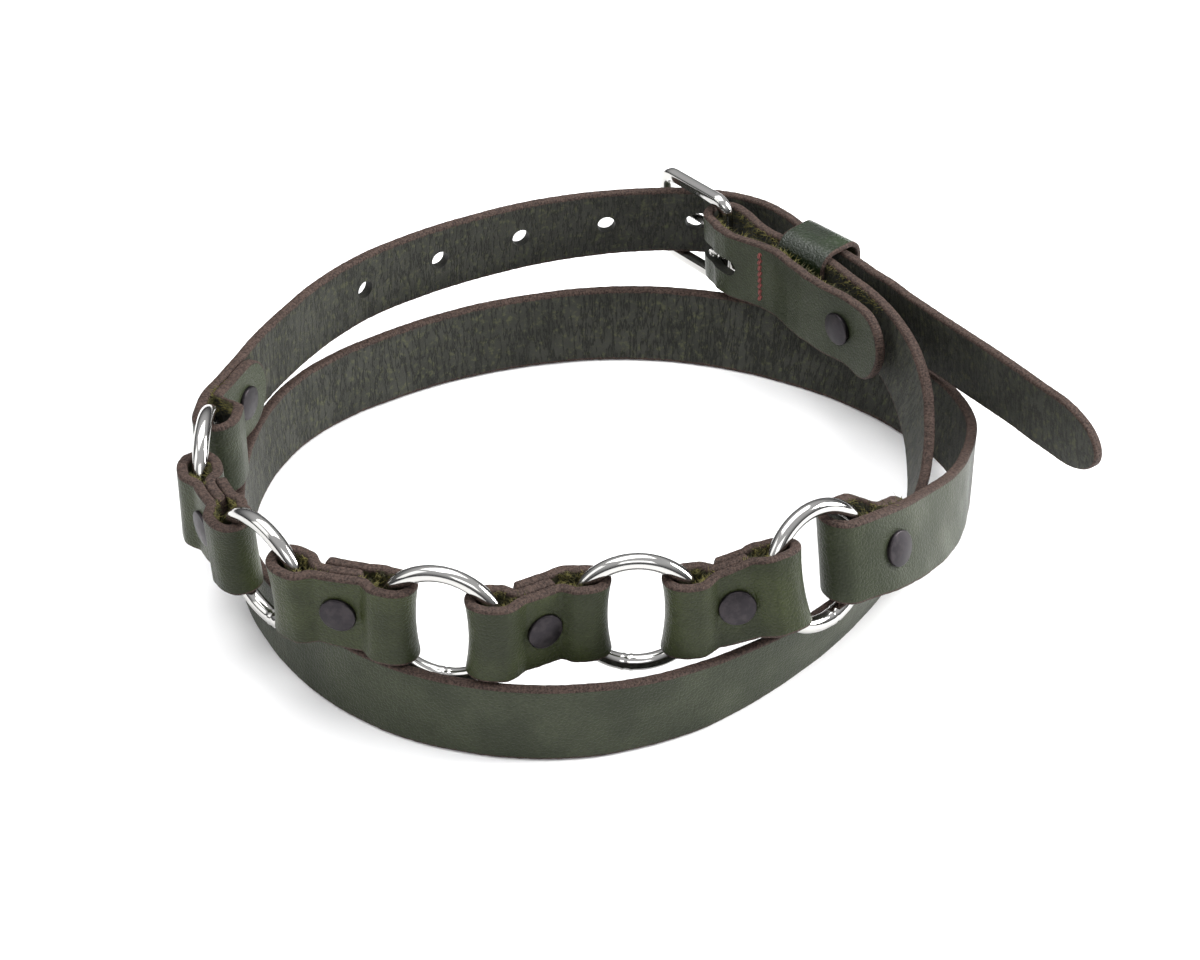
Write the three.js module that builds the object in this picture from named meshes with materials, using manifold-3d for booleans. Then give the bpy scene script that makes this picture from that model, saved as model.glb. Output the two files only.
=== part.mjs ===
// Double ring belt: one leather belt wound twice, with a chain of five rings and four riveted
// leather links at the front and a single-prong buckle at the back right.
// Millimetres, +Z up, standing on z = 0. The back of the coil lies towards +Y.
import * as THREE from "three";
import { mergeVertices } from "three/addons/utils/BufferGeometryUtils.js";
import Module from "manifold-3d";

const wasm = await Module();
wasm.setup();

// Leather
const STRAP_WIDTH = 20.5;
const LEATHER = 2.4;
const LAYER_GAP = 0.4;
const SEAT_GAP = 0.3;

// Coil
const COIL_RADIUS = 88;
const COIL_CENTRE = [-3, -25];

// Rings
const RING_INNER = 25;
const RING_WIRE = 4;
const RING_SIDES = 10;
const RING_STEPS = 23;

// Folds round the rings
const RING_REACH = 12.9;
const TUNNEL_RADIUS = 3;
const STRAP_TUNNEL = 3.6;
const LINK_BOW = 4;
const RING_1_BOW = 1;

// Rivets
const RIVET_CAP = 9;
const RIVET_CAP_RISE = 1.5;
const RIVET_POST = 3;
const RIVET_CLEARANCE = 0.3;
const RIVET_SLACK = 0.85;

// Holes of the tail strap
const PUNCH_HOLE = 5;
const HOLE_PITCH = 25;

// Buckle
const FRAME_WIRE = 3.6;
const FRAME_LENGTH = 24.4;
const FRAME_OPENING = STRAP_WIDTH + 1.5;
const FRAME_CORNER = 3.4;
const PRONG_WIDTH = 3.4;
const PRONG_THICKNESS = 2;
const SLOT_CLEARANCE = 0.8;
const BUCKLE_HEIGHT = 1.571 * STRAP_WIDTH;

// Keeper
const KEEPER_WIDTH = 16.5;
const KEEPER_WALL = 1.5;
const KEEPER_CLEARANCE = 0.6;

// Folds and layers
const FOLD_STEPS = 8;
const LAYER_STEP = 3.5;
const ROUTE_STEPS = 2;
const LINK_OPEN = 2.3;
const LINK_CLOSE = 4.8;
const LINK_LAP = 0.22;
const LAP_STEP_START = 3.6;
const LAP_STEP_LENGTH = 3.3;
const SPINE_PULL = 0.38;
const BUCKLE_FOLD_LENGTH = 70;
const RING_5_FOLD_LENGTH = 27;
const RING_1_FOLD_LENGTH = 33;
const RING_5_RIVET_ANGLE = -392.3;
const RING_1_RIVET_ANGLE = 169.3;
const BUCKLE_RIVET_ANGLE = 36.8;
const PRONG_HOLE_ANGLE = 74.3;
const PUNCH_HOLES = 5;
const TIP_LENGTH = 14;
const RING_5_OPEN = 6;
const RING_1_OPEN = 4.4;
const FOLD_CLOSE = 5;
const FRAME_TURN = 130.5;
const SLOT_LENGTH = 22;
const PRONG_ROOM = 18;
const KEEPER_BACK = 28;

const DEG = Math.PI / 180;
const UP = new THREE.Vector3(0, 0, 1);
const RING_RADIUS = (RING_INNER + RING_WIRE) / 2;

// The two coils. angle: degrees about the coil centre, falling along the belt. reach: distance of the
// strap's mid height from the coil centre, in coil radii. lift: height of the bottom edge, in strap
// widths. lean: degrees that the top edge leans outwards.
const LONG_ROUTE = [
  { angle: 66, reach: 1.172, lift: 1.07, lean: -4 },
  { angle: 64, reach: 1.148, lift: 1.07, lean: -4 },
  { angle: 61.5, reach: 1.112, lift: 1.07, lean: -4 },
  { angle: 59, reach: 1.09, lift: 1.07, lean: -4 },
  { angle: 56, reach: 1.076, lift: 1.07, lean: -3 },
  { angle: 52, reach: 1.068, lift: 1.07, lean: -2 },
  { angle: 48, reach: 1.059, lift: 1.07, lean: -1 },
  { angle: 44, reach: 1.049, lift: 1.06, lean: -1 },
  { angle: 40, reach: 1.036, lift: 1.05, lean: 0 },
  { angle: 35, reach: 1.032, lift: 1.04, lean: 0 },
  { angle: 30, reach: 1.024, lift: 1, lean: 2 },
  { angle: 25, reach: 1.015, lift: 0.95, lean: 4 },
  { angle: 20, reach: 1.008, lift: 0.84, lean: 6 },
  { angle: 15, reach: 0.998, lift: 0.68, lean: 8 },
  { angle: 10, reach: 0.984, lift: 0.5, lean: 9 },
  { angle: 0, reach: 0.952, lift: 0.22, lean: 10 },
  { angle: -10, reach: 0.918, lift: 0.06, lean: 12 },
  { angle: -20, reach: 0.888, lift: 0, lean: 14 },
  { angle: -30, reach: 0.871, lift: 0, lean: 15 },
  { angle: -40, reach: 0.862, lift: 0, lean: 14 },
  { angle: -50, reach: 0.865, lift: 0, lean: 12 },
  { angle: -60, reach: 0.879, lift: 0, lean: 8 },
  { angle: -70, reach: 0.904, lift: 0, lean: 4 },
  { angle: -80, reach: 0.931, lift: 0, lean: 2 },
  { angle: -90, reach: 0.956, lift: 0, lean: -1 },
  { angle: -100, reach: 0.975, lift: 0, lean: -2 },
  { angle: -110, reach: 0.991, lift: 0, lean: -2 },
  { angle: -120, reach: 1.003, lift: 0, lean: -2 },
  { angle: -130, reach: 1.006, lift: 0, lean: -2 },
  { angle: -140, reach: 1.003, lift: 0, lean: -2 },
  { angle: -150, reach: 1, lift: 0, lean: -1 },
  { angle: -160, reach: 1.003, lift: 0, lean: 0 },
  { angle: -170, reach: 0.998, lift: 0, lean: 0 },
  { angle: -180, reach: 0.997, lift: 0, lean: 0 },
  { angle: -190, reach: 1, lift: 0, lean: 1 },
  { angle: -200, reach: 1.004, lift: 0, lean: 2 },
  { angle: -210, reach: 0.997, lift: 0, lean: 3 },
  { angle: -220, reach: 0.975, lift: 0, lean: 3 },
  { angle: -230, reach: 0.952, lift: 0, lean: 4 },
  { angle: -240, reach: 0.942, lift: 0, lean: 6 },
  { angle: -250, reach: 0.941, lift: 0, lean: 8 },
  { angle: -260, reach: 0.949, lift: 0, lean: 10 },
  { angle: -270, reach: 0.967, lift: 0, lean: 13 },
  { angle: -280, reach: 0.99, lift: 0, lean: 16 },
  { angle: -290, reach: 1.014, lift: 0, lean: 19 },
  { angle: -300, reach: 1.039, lift: 0, lean: 20 },
  { angle: -310, reach: 1.067, lift: 0, lean: 20 },
  { angle: -320, reach: 1.1, lift: 0, lean: 19 },
  { angle: -330, reach: 1.13, lift: 0, lean: 16 },
  { angle: -340, reach: 1.146, lift: 0.03, lean: 11 },
  { angle: -347, reach: 1.14, lift: 0.1, lean: 6 },
  { angle: -353, reach: 1.118, lift: 0.22, lean: 2 },
  { angle: -360.2, reach: 1.084, lift: 0.36, lean: -1 },
  { angle: -365.4, reach: 1.065, lift: 0.47, lean: -3 },
  { angle: -370.8, reach: 1.046, lift: 0.58, lean: -6 },
  { angle: -376.3, reach: 1.026, lift: 0.71, lean: -10 },
  { angle: -381.8, reach: 1.009, lift: 0.85, lean: -13 },
  { angle: -387.4, reach: 0.997, lift: 0.98, lean: -15 },
  { angle: -392.9, reach: 0.982, lift: 1.09, lean: -16 },
  { angle: -397.1, reach: 0.965, lift: 1.15, lean: -15 },
  { angle: -400.6, reach: 0.947, lift: 1.17, lean: -15 },
];
const TAIL_ROUTE = [
  { angle: 182, reach: 1.1, lift: 1.02, lean: 0 },
  { angle: 177, reach: 1.088, lift: 1.02, lean: 0 },
  { angle: 172, reach: 1.06, lift: 1.02, lean: 0 },
  { angle: 166, reach: 1.04, lift: 1.02, lean: 0 },
  { angle: 158, reach: 1.03, lift: 1.02, lean: 0 },
  { angle: 150, reach: 1.031, lift: 1.02, lean: -1 },
  { angle: 140, reach: 1.044, lift: 1.02, lean: -1 },
  { angle: 130, reach: 1.061, lift: 1.02, lean: -2 },
  { angle: 120, reach: 1.073, lift: 1.02, lean: -2 },
  { angle: 110, reach: 1.095, lift: 1.02, lean: -2 },
  { angle: 100, reach: 1.132, lift: 1.02, lean: -2 },
  { angle: 90, reach: 1.175, lift: 1.02, lean: -3 },
  { angle: 82, reach: 1.21, lift: 1.03, lean: -4 },
  { angle: 76, reach: 1.233, lift: 1.04, lean: -4 },
  { angle: 70, reach: 1.248, lift: 1.05, lean: -4 },
  { angle: 66, reach: 1.245, lift: 1.06, lean: -4 },
  { angle: 62, reach: 1.227, lift: 1.07, lean: -4 },
  { angle: 58, reach: 1.195, lift: 1.07, lean: -4 },
  { angle: 55, reach: 1.165, lift: 1.07, lean: -4 },
  { angle: 51, reach: 1.14, lift: 1.07, lean: -4 },
  { angle: 47, reach: 1.13, lift: 1.07, lean: -4 },
  { angle: 43, reach: 1.124, lift: 1.07, lean: -5 },
  { angle: 39, reach: 1.118, lift: 1.07, lean: -6 },
  { angle: 35, reach: 1.122, lift: 1.07, lean: -7 },
  { angle: 30, reach: 1.125, lift: 1.07, lean: -8 },
  { angle: 25, reach: 1.14, lift: 1.07, lean: -8 },
  { angle: 20, reach: 1.165, lift: 1.07, lean: -8 },
  { angle: 15, reach: 1.2, lift: 1.07, lean: -8 },
  { angle: 10, reach: 1.247, lift: 1.07, lean: -8 },
  { angle: 5, reach: 1.308, lift: 1.05, lean: -8 },
  { angle: 0, reach: 1.384, lift: 1.04, lean: -8 },
  { angle: -3.4, reach: 1.448, lift: 1.02, lean: -8 },
];

// The rings, in coil radii from the coil centre. height: of the ring's middle, in strap widths. turn:
// degrees about Z from facing -Y. tilt: degrees that the face looks up.
const RINGS = [
  { name: "ring_1", angle: -171.63, reach: 1.0742, height: 1.517, turn: -92, tilt: 0 },
  { name: "ring_2", angle: -144.7, reach: 1.06, height: 1.517, turn: -47.6, tilt: -4 },
  { name: "ring_3", angle: -114.1, reach: 0.93, height: 1.517, turn: -15, tilt: 1.5 },
  { name: "ring_4", angle: -80.7, reach: 0.806, height: 1.517, turn: 2, tilt: 2 },
  { name: "ring_5", angle: -46.5, reach: 0.893, height: 1.693, turn: 40, tilt: 14 },
];

// The buckle's fold. back: distance from the heel bar, as a share of the fold's length. apart: distance
// between the two layers' middles, in leather thicknesses.
const BUCKLE_FOLD = [
  { back: 0, apart: 4.083 },
  { back: 0.086, apart: 4.417 },
  { back: 0.143, apart: 4.042 },
  { back: 0.2, apart: 3.167 },
  { back: 0.257, apart: 2.75 },
  { back: 0.314, apart: 2.792 },
  { back: 0.429, apart: 3.667 },
  { back: 0.529, apart: 4 },
  { back: 0.629, apart: 3.667 },
  { back: 0.714, apart: 3.083 },
  { back: 0.829, apart: 2.583 },
  { back: 1.06, apart: 2.25 },
];

function smooth(x) {
  const c = Math.min(Math.max(x, 0), 1);
  return c * c * (3 - 2 * c);
}

function coilPoint(angle, reach, z) {
  const r = reach * COIL_RADIUS;
  const x = COIL_CENTRE[0] + r * Math.cos(angle * DEG);
  const y = COIL_CENTRE[1] + r * Math.sin(angle * DEG);
  return new THREE.Vector3(x, y, z);
}

// A closed body through rings of points. Each section has the same number of points, counter-clockwise
// seen from ahead of the path. An open loft gets two flat ends, a closed one joins its last section
// to its first.
function loft(sections, closed) {
  const count = sections[0].length;
  const positions = sections.flat().flatMap((p) => [p.x, p.y, p.z]);
  const index = [];
  const last = closed ? sections.length : sections.length - 1;
  for (let i = 0; i < last; i++) {
    const a = i * count;
    const b = ((i + 1) % sections.length) * count;
    for (let j = 0; j < count; j++) {
      const k = (j + 1) % count;
      index.push(a + j, a + k, b + k, a + j, b + k, b + j);
    }
  }
  if (!closed) {
    const end = (sections.length - 1) * count;
    const half = count / 2;
    for (let j = 0; j < half - 1; j++) {
      const m = count - 1 - j;
      index.push(j, m, m - 1, j, m - 1, j + 1);
      index.push(end + j, end + m - 1, end + m, end + j, end + j + 1, end + m - 1);
    }
  }
  const geometry = new THREE.BufferGeometry();
  geometry.setAttribute("position", new THREE.Float32BufferAttribute(positions, 3));
  geometry.setIndex(index);
  return geometry;
}

function toSolid(geometry) {
  const bare = geometry.clone();
  bare.deleteAttribute("normal");
  bare.deleteAttribute("uv");
  const merged = mergeVertices(bare, 1e-5);
  const vertProperties = new Float32Array(merged.getAttribute("position").array);
  const triVerts = new Uint32Array(merged.getIndex().array);
  return new wasm.Manifold(new wasm.Mesh({ numProp: 3, vertProperties, triVerts }));
}

function fromSolid(solid) {
  const mesh = solid.getMesh();
  const geometry = new THREE.BufferGeometry();
  geometry.setAttribute("position", new THREE.Float32BufferAttribute(mesh.vertProperties, 3));
  geometry.setIndex(Array.from(mesh.triVerts));
  return geometry;
}

function cut(geometry, tools) {
  const solid = tools.reduce((body, tool) => body.subtract(toSolid(tool)), toSolid(geometry));
  return fromSolid(solid);
}

// Turns local X, Y, Z to the three given directions and moves the origin to a point.
function place(geometry, origin, x, y, z) {
  const turn = new THREE.Matrix4().makeBasis(x, y, z);
  return geometry.clone().applyMatrix4(turn).translate(origin.x, origin.y, origin.z);
}

// Uniform Catmull-Rom value of a table's column at a fractional row number.
function columnAt(rows, key, at) {
  const i = Math.min(Math.floor(at), rows.length - 2);
  const t = at - i;
  const p1 = rows[i][key];
  const p2 = rows[i + 1][key];
  const p0 = i > 0 ? rows[i - 1][key] : 2 * p1 - p2;
  const p3 = i + 2 < rows.length ? rows[i + 2][key] : 2 * p2 - p1;
  const a = 3 * (p1 - p2) + p3 - p0;
  const b = 2 * p0 - 5 * p1 + 4 * p2 - p3;
  return p1 + 0.5 * t * (p2 - p0 + t * (b + t * a));
}

// A strap's frames along a route. mid: the middle of the leather. out: level, away from the coil.
// rise: from the bottom edge to the top edge. width: share of the width that is left.
function routeFrames(rows, stepsPerRow) {
  const count = (rows.length - 1) * stepsPerRow;
  const frames = [];
  for (let i = 0; i <= count; i++) {
    const at = i / stepsPerRow;
    const lean = columnAt(rows, "lean", at) * DEG;
    const bottom = Math.max(columnAt(rows, "lift", at), 0) * STRAP_WIDTH;
    const z = bottom + 0.5 * STRAP_WIDTH * Math.cos(lean);
    const mid = coilPoint(columnAt(rows, "angle", at), columnAt(rows, "reach", at), z);
    frames.push({ mid, lean, angle: columnAt(rows, "angle", at) });
  }
  frames.forEach((frame, i) => {
    const ahead = frames[Math.min(i + 1, count)].mid;
    const behind = frames[Math.max(i - 1, 0)].mid;
    frame.run = ahead.clone().sub(behind).normalize();
    frame.out = UP.clone().cross(frame.run).normalize();
    frame.rise = frame.run.clone().cross(frame.out).multiplyScalar(Math.cos(frame.lean));
    frame.rise.addScaledVector(frame.out, Math.sin(frame.lean)).multiplyScalar(STRAP_WIDTH);
    frame.width = 1;
  });
  return frames;
}

function measure(frames) {
  let along = 0;
  frames.forEach((frame, i) => {
    along += i > 0 ? frame.mid.distanceTo(frames[i - 1].mid) : 0;
    frame.along = along;
  });
  return frames;
}

function between(a, b, t, along) {
  return {
    mid: a.mid.clone().lerp(b.mid, t),
    out: a.out.clone().lerp(b.out, t).normalize(),
    rise: a.rise.clone().lerp(b.rise, t),
    run: a.run.clone().lerp(b.run, t).normalize(),
    angle: a.angle + (b.angle - a.angle) * t,
    width: 1,
    along,
  };
}

function frameAlong(frames, along) {
  const i = Math.max(frames.findIndex((frame) => frame.along >= along), 1);
  const a = frames[i - 1];
  const b = frames[i];
  return between(a, b, (along - a.along) / (b.along - a.along), along);
}

// The frame at an angle of the route, whose angles fall.
function frameAtAngle(frames, angle) {
  const i = frames.findIndex((frame) => frame.angle <= angle);
  const a = frames[i - 1];
  const b = frames[i];
  const t = (a.angle - angle) / (a.angle - b.angle);
  return between(a, b, t, a.along + (b.along - a.along) * t);
}

// The same frame with its outward direction square to the leather's face.
function squared(frame) {
  return { ...frame, out: frame.rise.clone().cross(frame.run).normalize() };
}

// Distances from an end at which a rounded end is sampled, with the share of the width left there.
function roundedEnd(length, steps) {
  const rows = [];
  for (let i = 1; i <= steps; i++) {
    const phi = (i / steps) * Math.PI / 2;
    rows.push({ back: length * (1 - Math.sin(phi)), width: Math.max(Math.cos(phi), 0.1) });
  }
  return rows;
}

// A folded end: half a turn inwards round a bar, then a layer that lies back along the strap.
// path runs towards the fold. apart gives the distance between the two layers' middles.
function foldedEnd(path, fold) {
  const last = path[path.length - 1];
  const radius = fold.radius + LEATHER / 2;
  const frames = [];
  for (let i = 1; i < FOLD_STEPS; i++) {
    const phi = (i / FOLD_STEPS) * Math.PI;
    const out = last.out.clone().multiplyScalar(Math.cos(phi)).addScaledVector(last.run, Math.sin(phi));
    const mid = last.mid.clone().addScaledVector(last.out, -radius).addScaledVector(out, radius);
    const bow = last.run.clone().multiplyScalar(fold.bow * Math.sin(phi));
    frames.push({ mid, out, rise: last.rise, width: 1, bow });
  }
  const radiusEnd = STRAP_WIDTH / 2;
  const flat = fold.length - radiusEnd;
  const steps = Math.ceil(flat / LAYER_STEP);
  const rows = Array.from({ length: steps + 1 }, (_, i) => ({ back: (flat * i) / steps, width: 1 }));
  roundedEnd(radiusEnd, 5).forEach((row) => {
    rows.push({ back: fold.length - row.back, width: row.width });
  });
  rows.forEach(({ back, width }) => {
    const frame = frameAlong(path, last.along - back);
    const mid = frame.mid.clone().addScaledVector(frame.out, -fold.apart(back, 2 * radius));
    frames.push({ mid, out: frame.out.clone().negate(), rise: frame.rise, width });
  });
  return frames;
}

function reversed(path) {
  const total = path[path.length - 1].along;
  return path.map((f) => ({ ...f, run: f.run.clone().negate(), along: total - f.along })).reverse();
}

// Section of a strap: its outer face upwards, then its inner face downwards.
function strapSection(frame) {
  const levels = [-0.5, 0, 0.5];
  const at = (side, level) => {
    const p = frame.mid.clone().addScaledVector(frame.rise, level * frame.width);
    p.addScaledVector(frame.out, (side * LEATHER) / 2);
    return frame.bow ? p.addScaledVector(frame.bow, (2 * level) ** 2) : p;
  };
  return [...levels.map((v) => at(1, v)), ...levels.map((v) => at(-1, v)).reverse()];
}

function strap(frames) {
  return loft(frames.map(strapSection), false);
}

// A drill of a given radius across a strap at a frame.
function drill(frame, radius, length) {
  const geometry = new THREE.CylinderGeometry(radius, radius, length, 12);
  const z = frame.run.clone().cross(frame.out).normalize();
  return place(geometry, frame.mid, frame.run, frame.out, z);
}

// A rivet through a stack. near and far: distances of the stack's outer and inner faces from the
// frame's middle, along its outward direction.
function rivet(frame, near, far) {
  const top = near + SEAT_GAP;
  const foot = far - SEAT_GAP;
  const rim = RIVET_CAP_RISE * 0.4;
  const cap = RIVET_CAP / 2;
  const post = RIVET_POST / 2;
  const profile = [
    [0, foot - RIVET_CAP_RISE],
    [cap * 0.6, foot - RIVET_CAP_RISE * 0.85],
    [cap, foot - rim],
    [cap, foot],
    [post, foot],
    [post, top],
    [cap, top],
    [cap, top + rim],
    [cap * 0.6, top + RIVET_CAP_RISE * 0.85],
    [0, top + RIVET_CAP_RISE],
  ];
  const points = profile.map(([x, y]) => new THREE.Vector2(x, y));
  const geometry = new THREE.LatheGeometry(points, 10);
  const z = frame.run.clone().cross(frame.out).normalize();
  return place(geometry, frame.mid, frame.run, frame.out, z);
}

function ringFrame(row) {
  const turn = row.turn * DEG;
  const tilt = row.tilt * DEG;
  const centre = coilPoint(row.angle, row.reach, row.height * STRAP_WIDTH);
  const across = new THREE.Vector3(Math.cos(turn), Math.sin(turn), 0);
  const face = new THREE.Vector3(Math.sin(turn), -Math.cos(turn), 0).multiplyScalar(Math.cos(tilt));
  face.addScaledVector(UP, Math.sin(tilt));
  return { name: row.name, centre, across, face, up: face.clone().cross(across) };
}

function ring(frame) {
  const geometry = new THREE.TorusGeometry(RING_RADIUS, RING_WIRE / 2, RING_SIDES, RING_STEPS);
  return place(geometry, frame.centre, frame.across, frame.up, frame.face);
}

// The spine of a link, from the tunnel round one ring to the tunnel round the next.
function linkSpine(left, right) {
  const chord = right.centre.clone().sub(left.centre).setZ(0).normalize();
  const start = left.centre.clone().addScaledVector(left.across, RING_REACH);
  const end = right.centre.clone().addScaledVector(right.across, -RING_REACH);
  const startRun = left.across.clone().add(chord).normalize();
  const endRun = right.across.clone().add(chord).normalize();
  const reach = start.distanceTo(end) * SPINE_PULL;
  const curve = new THREE.CubicBezierCurve3(
    start,
    start.clone().addScaledVector(startRun, reach),
    end.clone().addScaledVector(endRun, -reach),
    end,
  );
  const length = curve.getLength();
  const at = (u) => {
    const t = Math.min(Math.max(u / length, 0), 1);
    const run = curve.getTangentAt(t);
    const rise = left.up.clone().lerp(right.up, smooth(t)).normalize();
    const out = rise.clone().cross(run).negate().normalize();
    const mid = curve.getPointAt(t).addScaledVector(run, u - t * length);
    return { mid, run, out, rise: rise.multiplyScalar(STRAP_WIDTH) };
  };
  return { length, at };
}

// Half the gap between a link's front and back layers, open at the tunnels, closed at the rivet.
function linkGap(u, length) {
  const fromEnd = Math.min(u, length - u);
  const closed = smooth((fromEnd - LINK_OPEN) / LINK_CLOSE);
  return TUNNEL_RADIUS + (LAYER_GAP / 2 - TUNNEL_RADIUS) * closed;
}

// The middle line of a link's leather strip, as along and out of the spine.
function linkStrip(length) {
  const lapStart = length * (0.5 + LINK_LAP);
  const lapEnd = length * (0.5 - LINK_LAP);
  const radius = TUNNEL_RADIUS + LEATHER / 2;
  const layer = (u) => linkGap(u, length) + LEATHER / 2;
  const step = (u) => (LEATHER + LAYER_GAP) * smooth((lapStart + LAP_STEP_START - u) / LAP_STEP_LENGTH);
  const points = [];
  const run = (from, to, count, out) => {
    for (let i = 0; i <= count; i++) {
      const u = from + ((to - from) * i) / count;
      points.push([u, out(u)]);
    }
  };
  const turn = (centre, side) => {
    for (let i = 1; i < FOLD_STEPS; i++) {
      const phi = (i / FOLD_STEPS) * Math.PI;
      points.push([centre + side * radius * Math.sin(phi), -side * radius * Math.cos(phi)]);
    }
  };
  run(lapEnd, length, 8, (u) => -layer(u) - step(u));
  turn(length, 1);
  run(length, 0, 10, layer);
  turn(0, -1);
  run(0, lapStart, 6, (u) => -layer(u));
  return points;
}

function link(spine) {
  const points = linkStrip(spine.length);
  const count = points.length;
  const sections = points.map(([u, n], i) => {
    const ahead = points[Math.min(i + 1, count - 1)];
    const behind = points[Math.max(i - 1, 0)];
    const side = new THREE.Vector2(behind[1] - ahead[1], ahead[0] - behind[0]).normalize();
    const past = u < 0 ? u : Math.max(u - spine.length, 0);
    const bow = LINK_BOW * Math.min(Math.max(past / TUNNEL_RADIUS, -1), 1);
    const at = (face, level) => {
      const half = (face * LEATHER) / 2;
      const frame = spine.at(u + side.x * -half + bow * (2 * level) ** 2);
      return frame.mid.addScaledVector(frame.out, n - side.y * half).addScaledVector(frame.rise, level);
    };
    const levels = [-0.5, 0, 0.5];
    return [...levels.map((v) => at(1, v)), ...levels.map((v) => at(-1, v)).reverse()];
  });
  return loft(sections, false);
}

// A round bar bent along closed or open points. across gives the direction square to the bar's plane.
function bentBar(points, across, radiusIn, radiusAcross, sides, closed) {
  const count = points.length;
  const sections = points.map((p, i) => {
    const ahead = closed ? points[(i + 1) % count] : points[Math.min(i + 1, count - 1)];
    const behind = closed ? points[(i + count - 1) % count] : points[Math.max(i - 1, 0)];
    const run = ahead.clone().sub(behind).normalize();
    const inward = across.clone().cross(run).normalize();
    return Array.from({ length: sides }, (_, j) => {
      const phi = ((j + 0.5) / sides) * Math.PI * 2;
      const q = p.clone().addScaledVector(inward, radiusIn * Math.cos(phi));
      return q.addScaledVector(across, radiusAcross * Math.sin(phi));
    });
  });
  return loft(sections, closed);
}

// The buckle's frame lies in one plane with its heel bar at the origin of along.
function buckleFrame(buckle) {
  const halfHigh = (FRAME_OPENING + FRAME_WIRE) / 2;
  const corners = [
    [FRAME_LENGTH - FRAME_CORNER, halfHigh - FRAME_CORNER, 0],
    [FRAME_CORNER, halfHigh - FRAME_CORNER, 90],
    [FRAME_CORNER, FRAME_CORNER - halfHigh, 180],
    [FRAME_LENGTH - FRAME_CORNER, FRAME_CORNER - halfHigh, 270],
  ];
  const points = corners.flatMap(([x, y, from]) => [0, 1, 2, 3, 4].map((i) => {
    const phi = (from + i * 22.5) * DEG;
    const p = buckle.heel.clone().addScaledVector(buckle.along, x + FRAME_CORNER * Math.cos(phi));
    return p.addScaledVector(buckle.up, y + FRAME_CORNER * Math.sin(phi));
  }));
  return bentBar(points, buckle.face, FRAME_WIRE / 2, FRAME_WIRE / 2, 10, true);
}

// The prong: a hook round the heel bar and a straight tongue whose end rests on the far bar.
function buckleProng(buckle) {
  const radius = FRAME_WIRE / 2 + SEAT_GAP + PRONG_THICKNESS / 2;
  const tip = FRAME_LENGTH + FRAME_WIRE * 0.7;
  const points = [tip, tip * 0.75, tip * 0.5, tip * 0.25].map((x) => [x, radius]);
  for (let i = 0; i <= 9; i++) {
    const phi = (90 + i * 28) * DEG;
    points.push([radius * Math.cos(phi), radius * Math.sin(phi)]);
  }
  const spots = points.map(([x, y]) => {
    return buckle.heel.clone().addScaledVector(buckle.along, x).addScaledVector(buckle.face, y);
  });
  return bentBar(spots, buckle.up, PRONG_THICKNESS / 2, PRONG_WIDTH / 2, 8, false);
}

// A box in the buckle's directions, centred at a point along the frame.
function buckleBox(buckle, along, length, high, deep) {
  const geometry = new THREE.BoxGeometry(length, high, deep);
  const centre = buckle.heel.clone().addScaledVector(buckle.along, along);
  return place(geometry, centre, buckle.along, buckle.up, buckle.face);
}

function roundedOutline(target, x0, x1, y0, y1, radius) {
  target.absarc(x1 - radius, y1 - radius, radius, 0, Math.PI / 2);
  target.absarc(x0 + radius, y1 - radius, radius, Math.PI / 2, Math.PI);
  target.absarc(x0 + radius, y0 + radius, radius, Math.PI, Math.PI * 1.5);
  target.absarc(x1 - radius, y0 + radius, radius, Math.PI * 1.5, Math.PI * 2);
  return target;
}

// The keeper: a loop round the main layer and the tail strap, just large enough for both.
function keeper(centre, straps) {
  const axis = centre.run;
  const out = centre.out;
  const up = axis.clone().cross(out).normalize();
  const near = straps.flat().filter((frame) => {
    const offset = frame.mid.clone().sub(centre.mid);
    return Math.abs(offset.dot(axis)) < KEEPER_WIDTH * 0.6 && offset.length() < STRAP_WIDTH;
  });
  const points = near.flatMap(strapSection).map((p) => p.sub(centre.mid));
  const outs = points.map((p) => p.dot(out));
  const highs = points.map((p) => p.dot(up));
  const x0 = Math.min(...outs) - KEEPER_CLEARANCE;
  const x1 = Math.max(...outs) + KEEPER_CLEARANCE;
  const y0 = Math.min(...highs) - KEEPER_CLEARANCE;
  const y1 = Math.max(...highs) + KEEPER_CLEARANCE;
  const wall = KEEPER_WALL;
  const shape = roundedOutline(new THREE.Shape(), x0 - wall, x1 + wall, y0 - wall, y1 + wall, wall + 0.8);
  shape.holes.push(roundedOutline(new THREE.Path(), x0, x1, y0, y1, 0.3));
  const options = { depth: KEEPER_WIDTH, bevelEnabled: false, curveSegments: 3 };
  const geometry = new THREE.ExtrudeGeometry(shape, options).translate(0, 0, -KEEPER_WIDTH / 2);
  return place(geometry, centre.mid, out, up, axis);
}

const belt = new THREE.Group();

function add(name, geometry, colour, roughness, metalness) {
  const material = new THREE.MeshStandardMaterial({ color: colour, roughness, metalness });
  const mesh = new THREE.Mesh(geometry, material);
  mesh.name = name;
  belt.add(mesh);
}

const GREEN = 0x41463a;
const LINK_GREEN = 0x424a33;
const NICKEL = 0xd8d8d6;
const GUNMETAL = 0x57525a;

const longPath = measure(routeFrames(LONG_ROUTE, ROUTE_STEPS));
const tailPath = measure(routeFrames(TAIL_ROUTE, ROUTE_STEPS));
const rings = RINGS.map(ringFrame);

// Folds round rings stay open past the ring's wire, then close on the strap.
function ringFold(open, bow, length) {
  const apart = (back, wide) => wide + (LEATHER + LAYER_GAP - wide) * smooth((back - open) / FOLD_CLOSE);
  return { radius: STRAP_TUNNEL, bow, length, apart };
}

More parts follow.
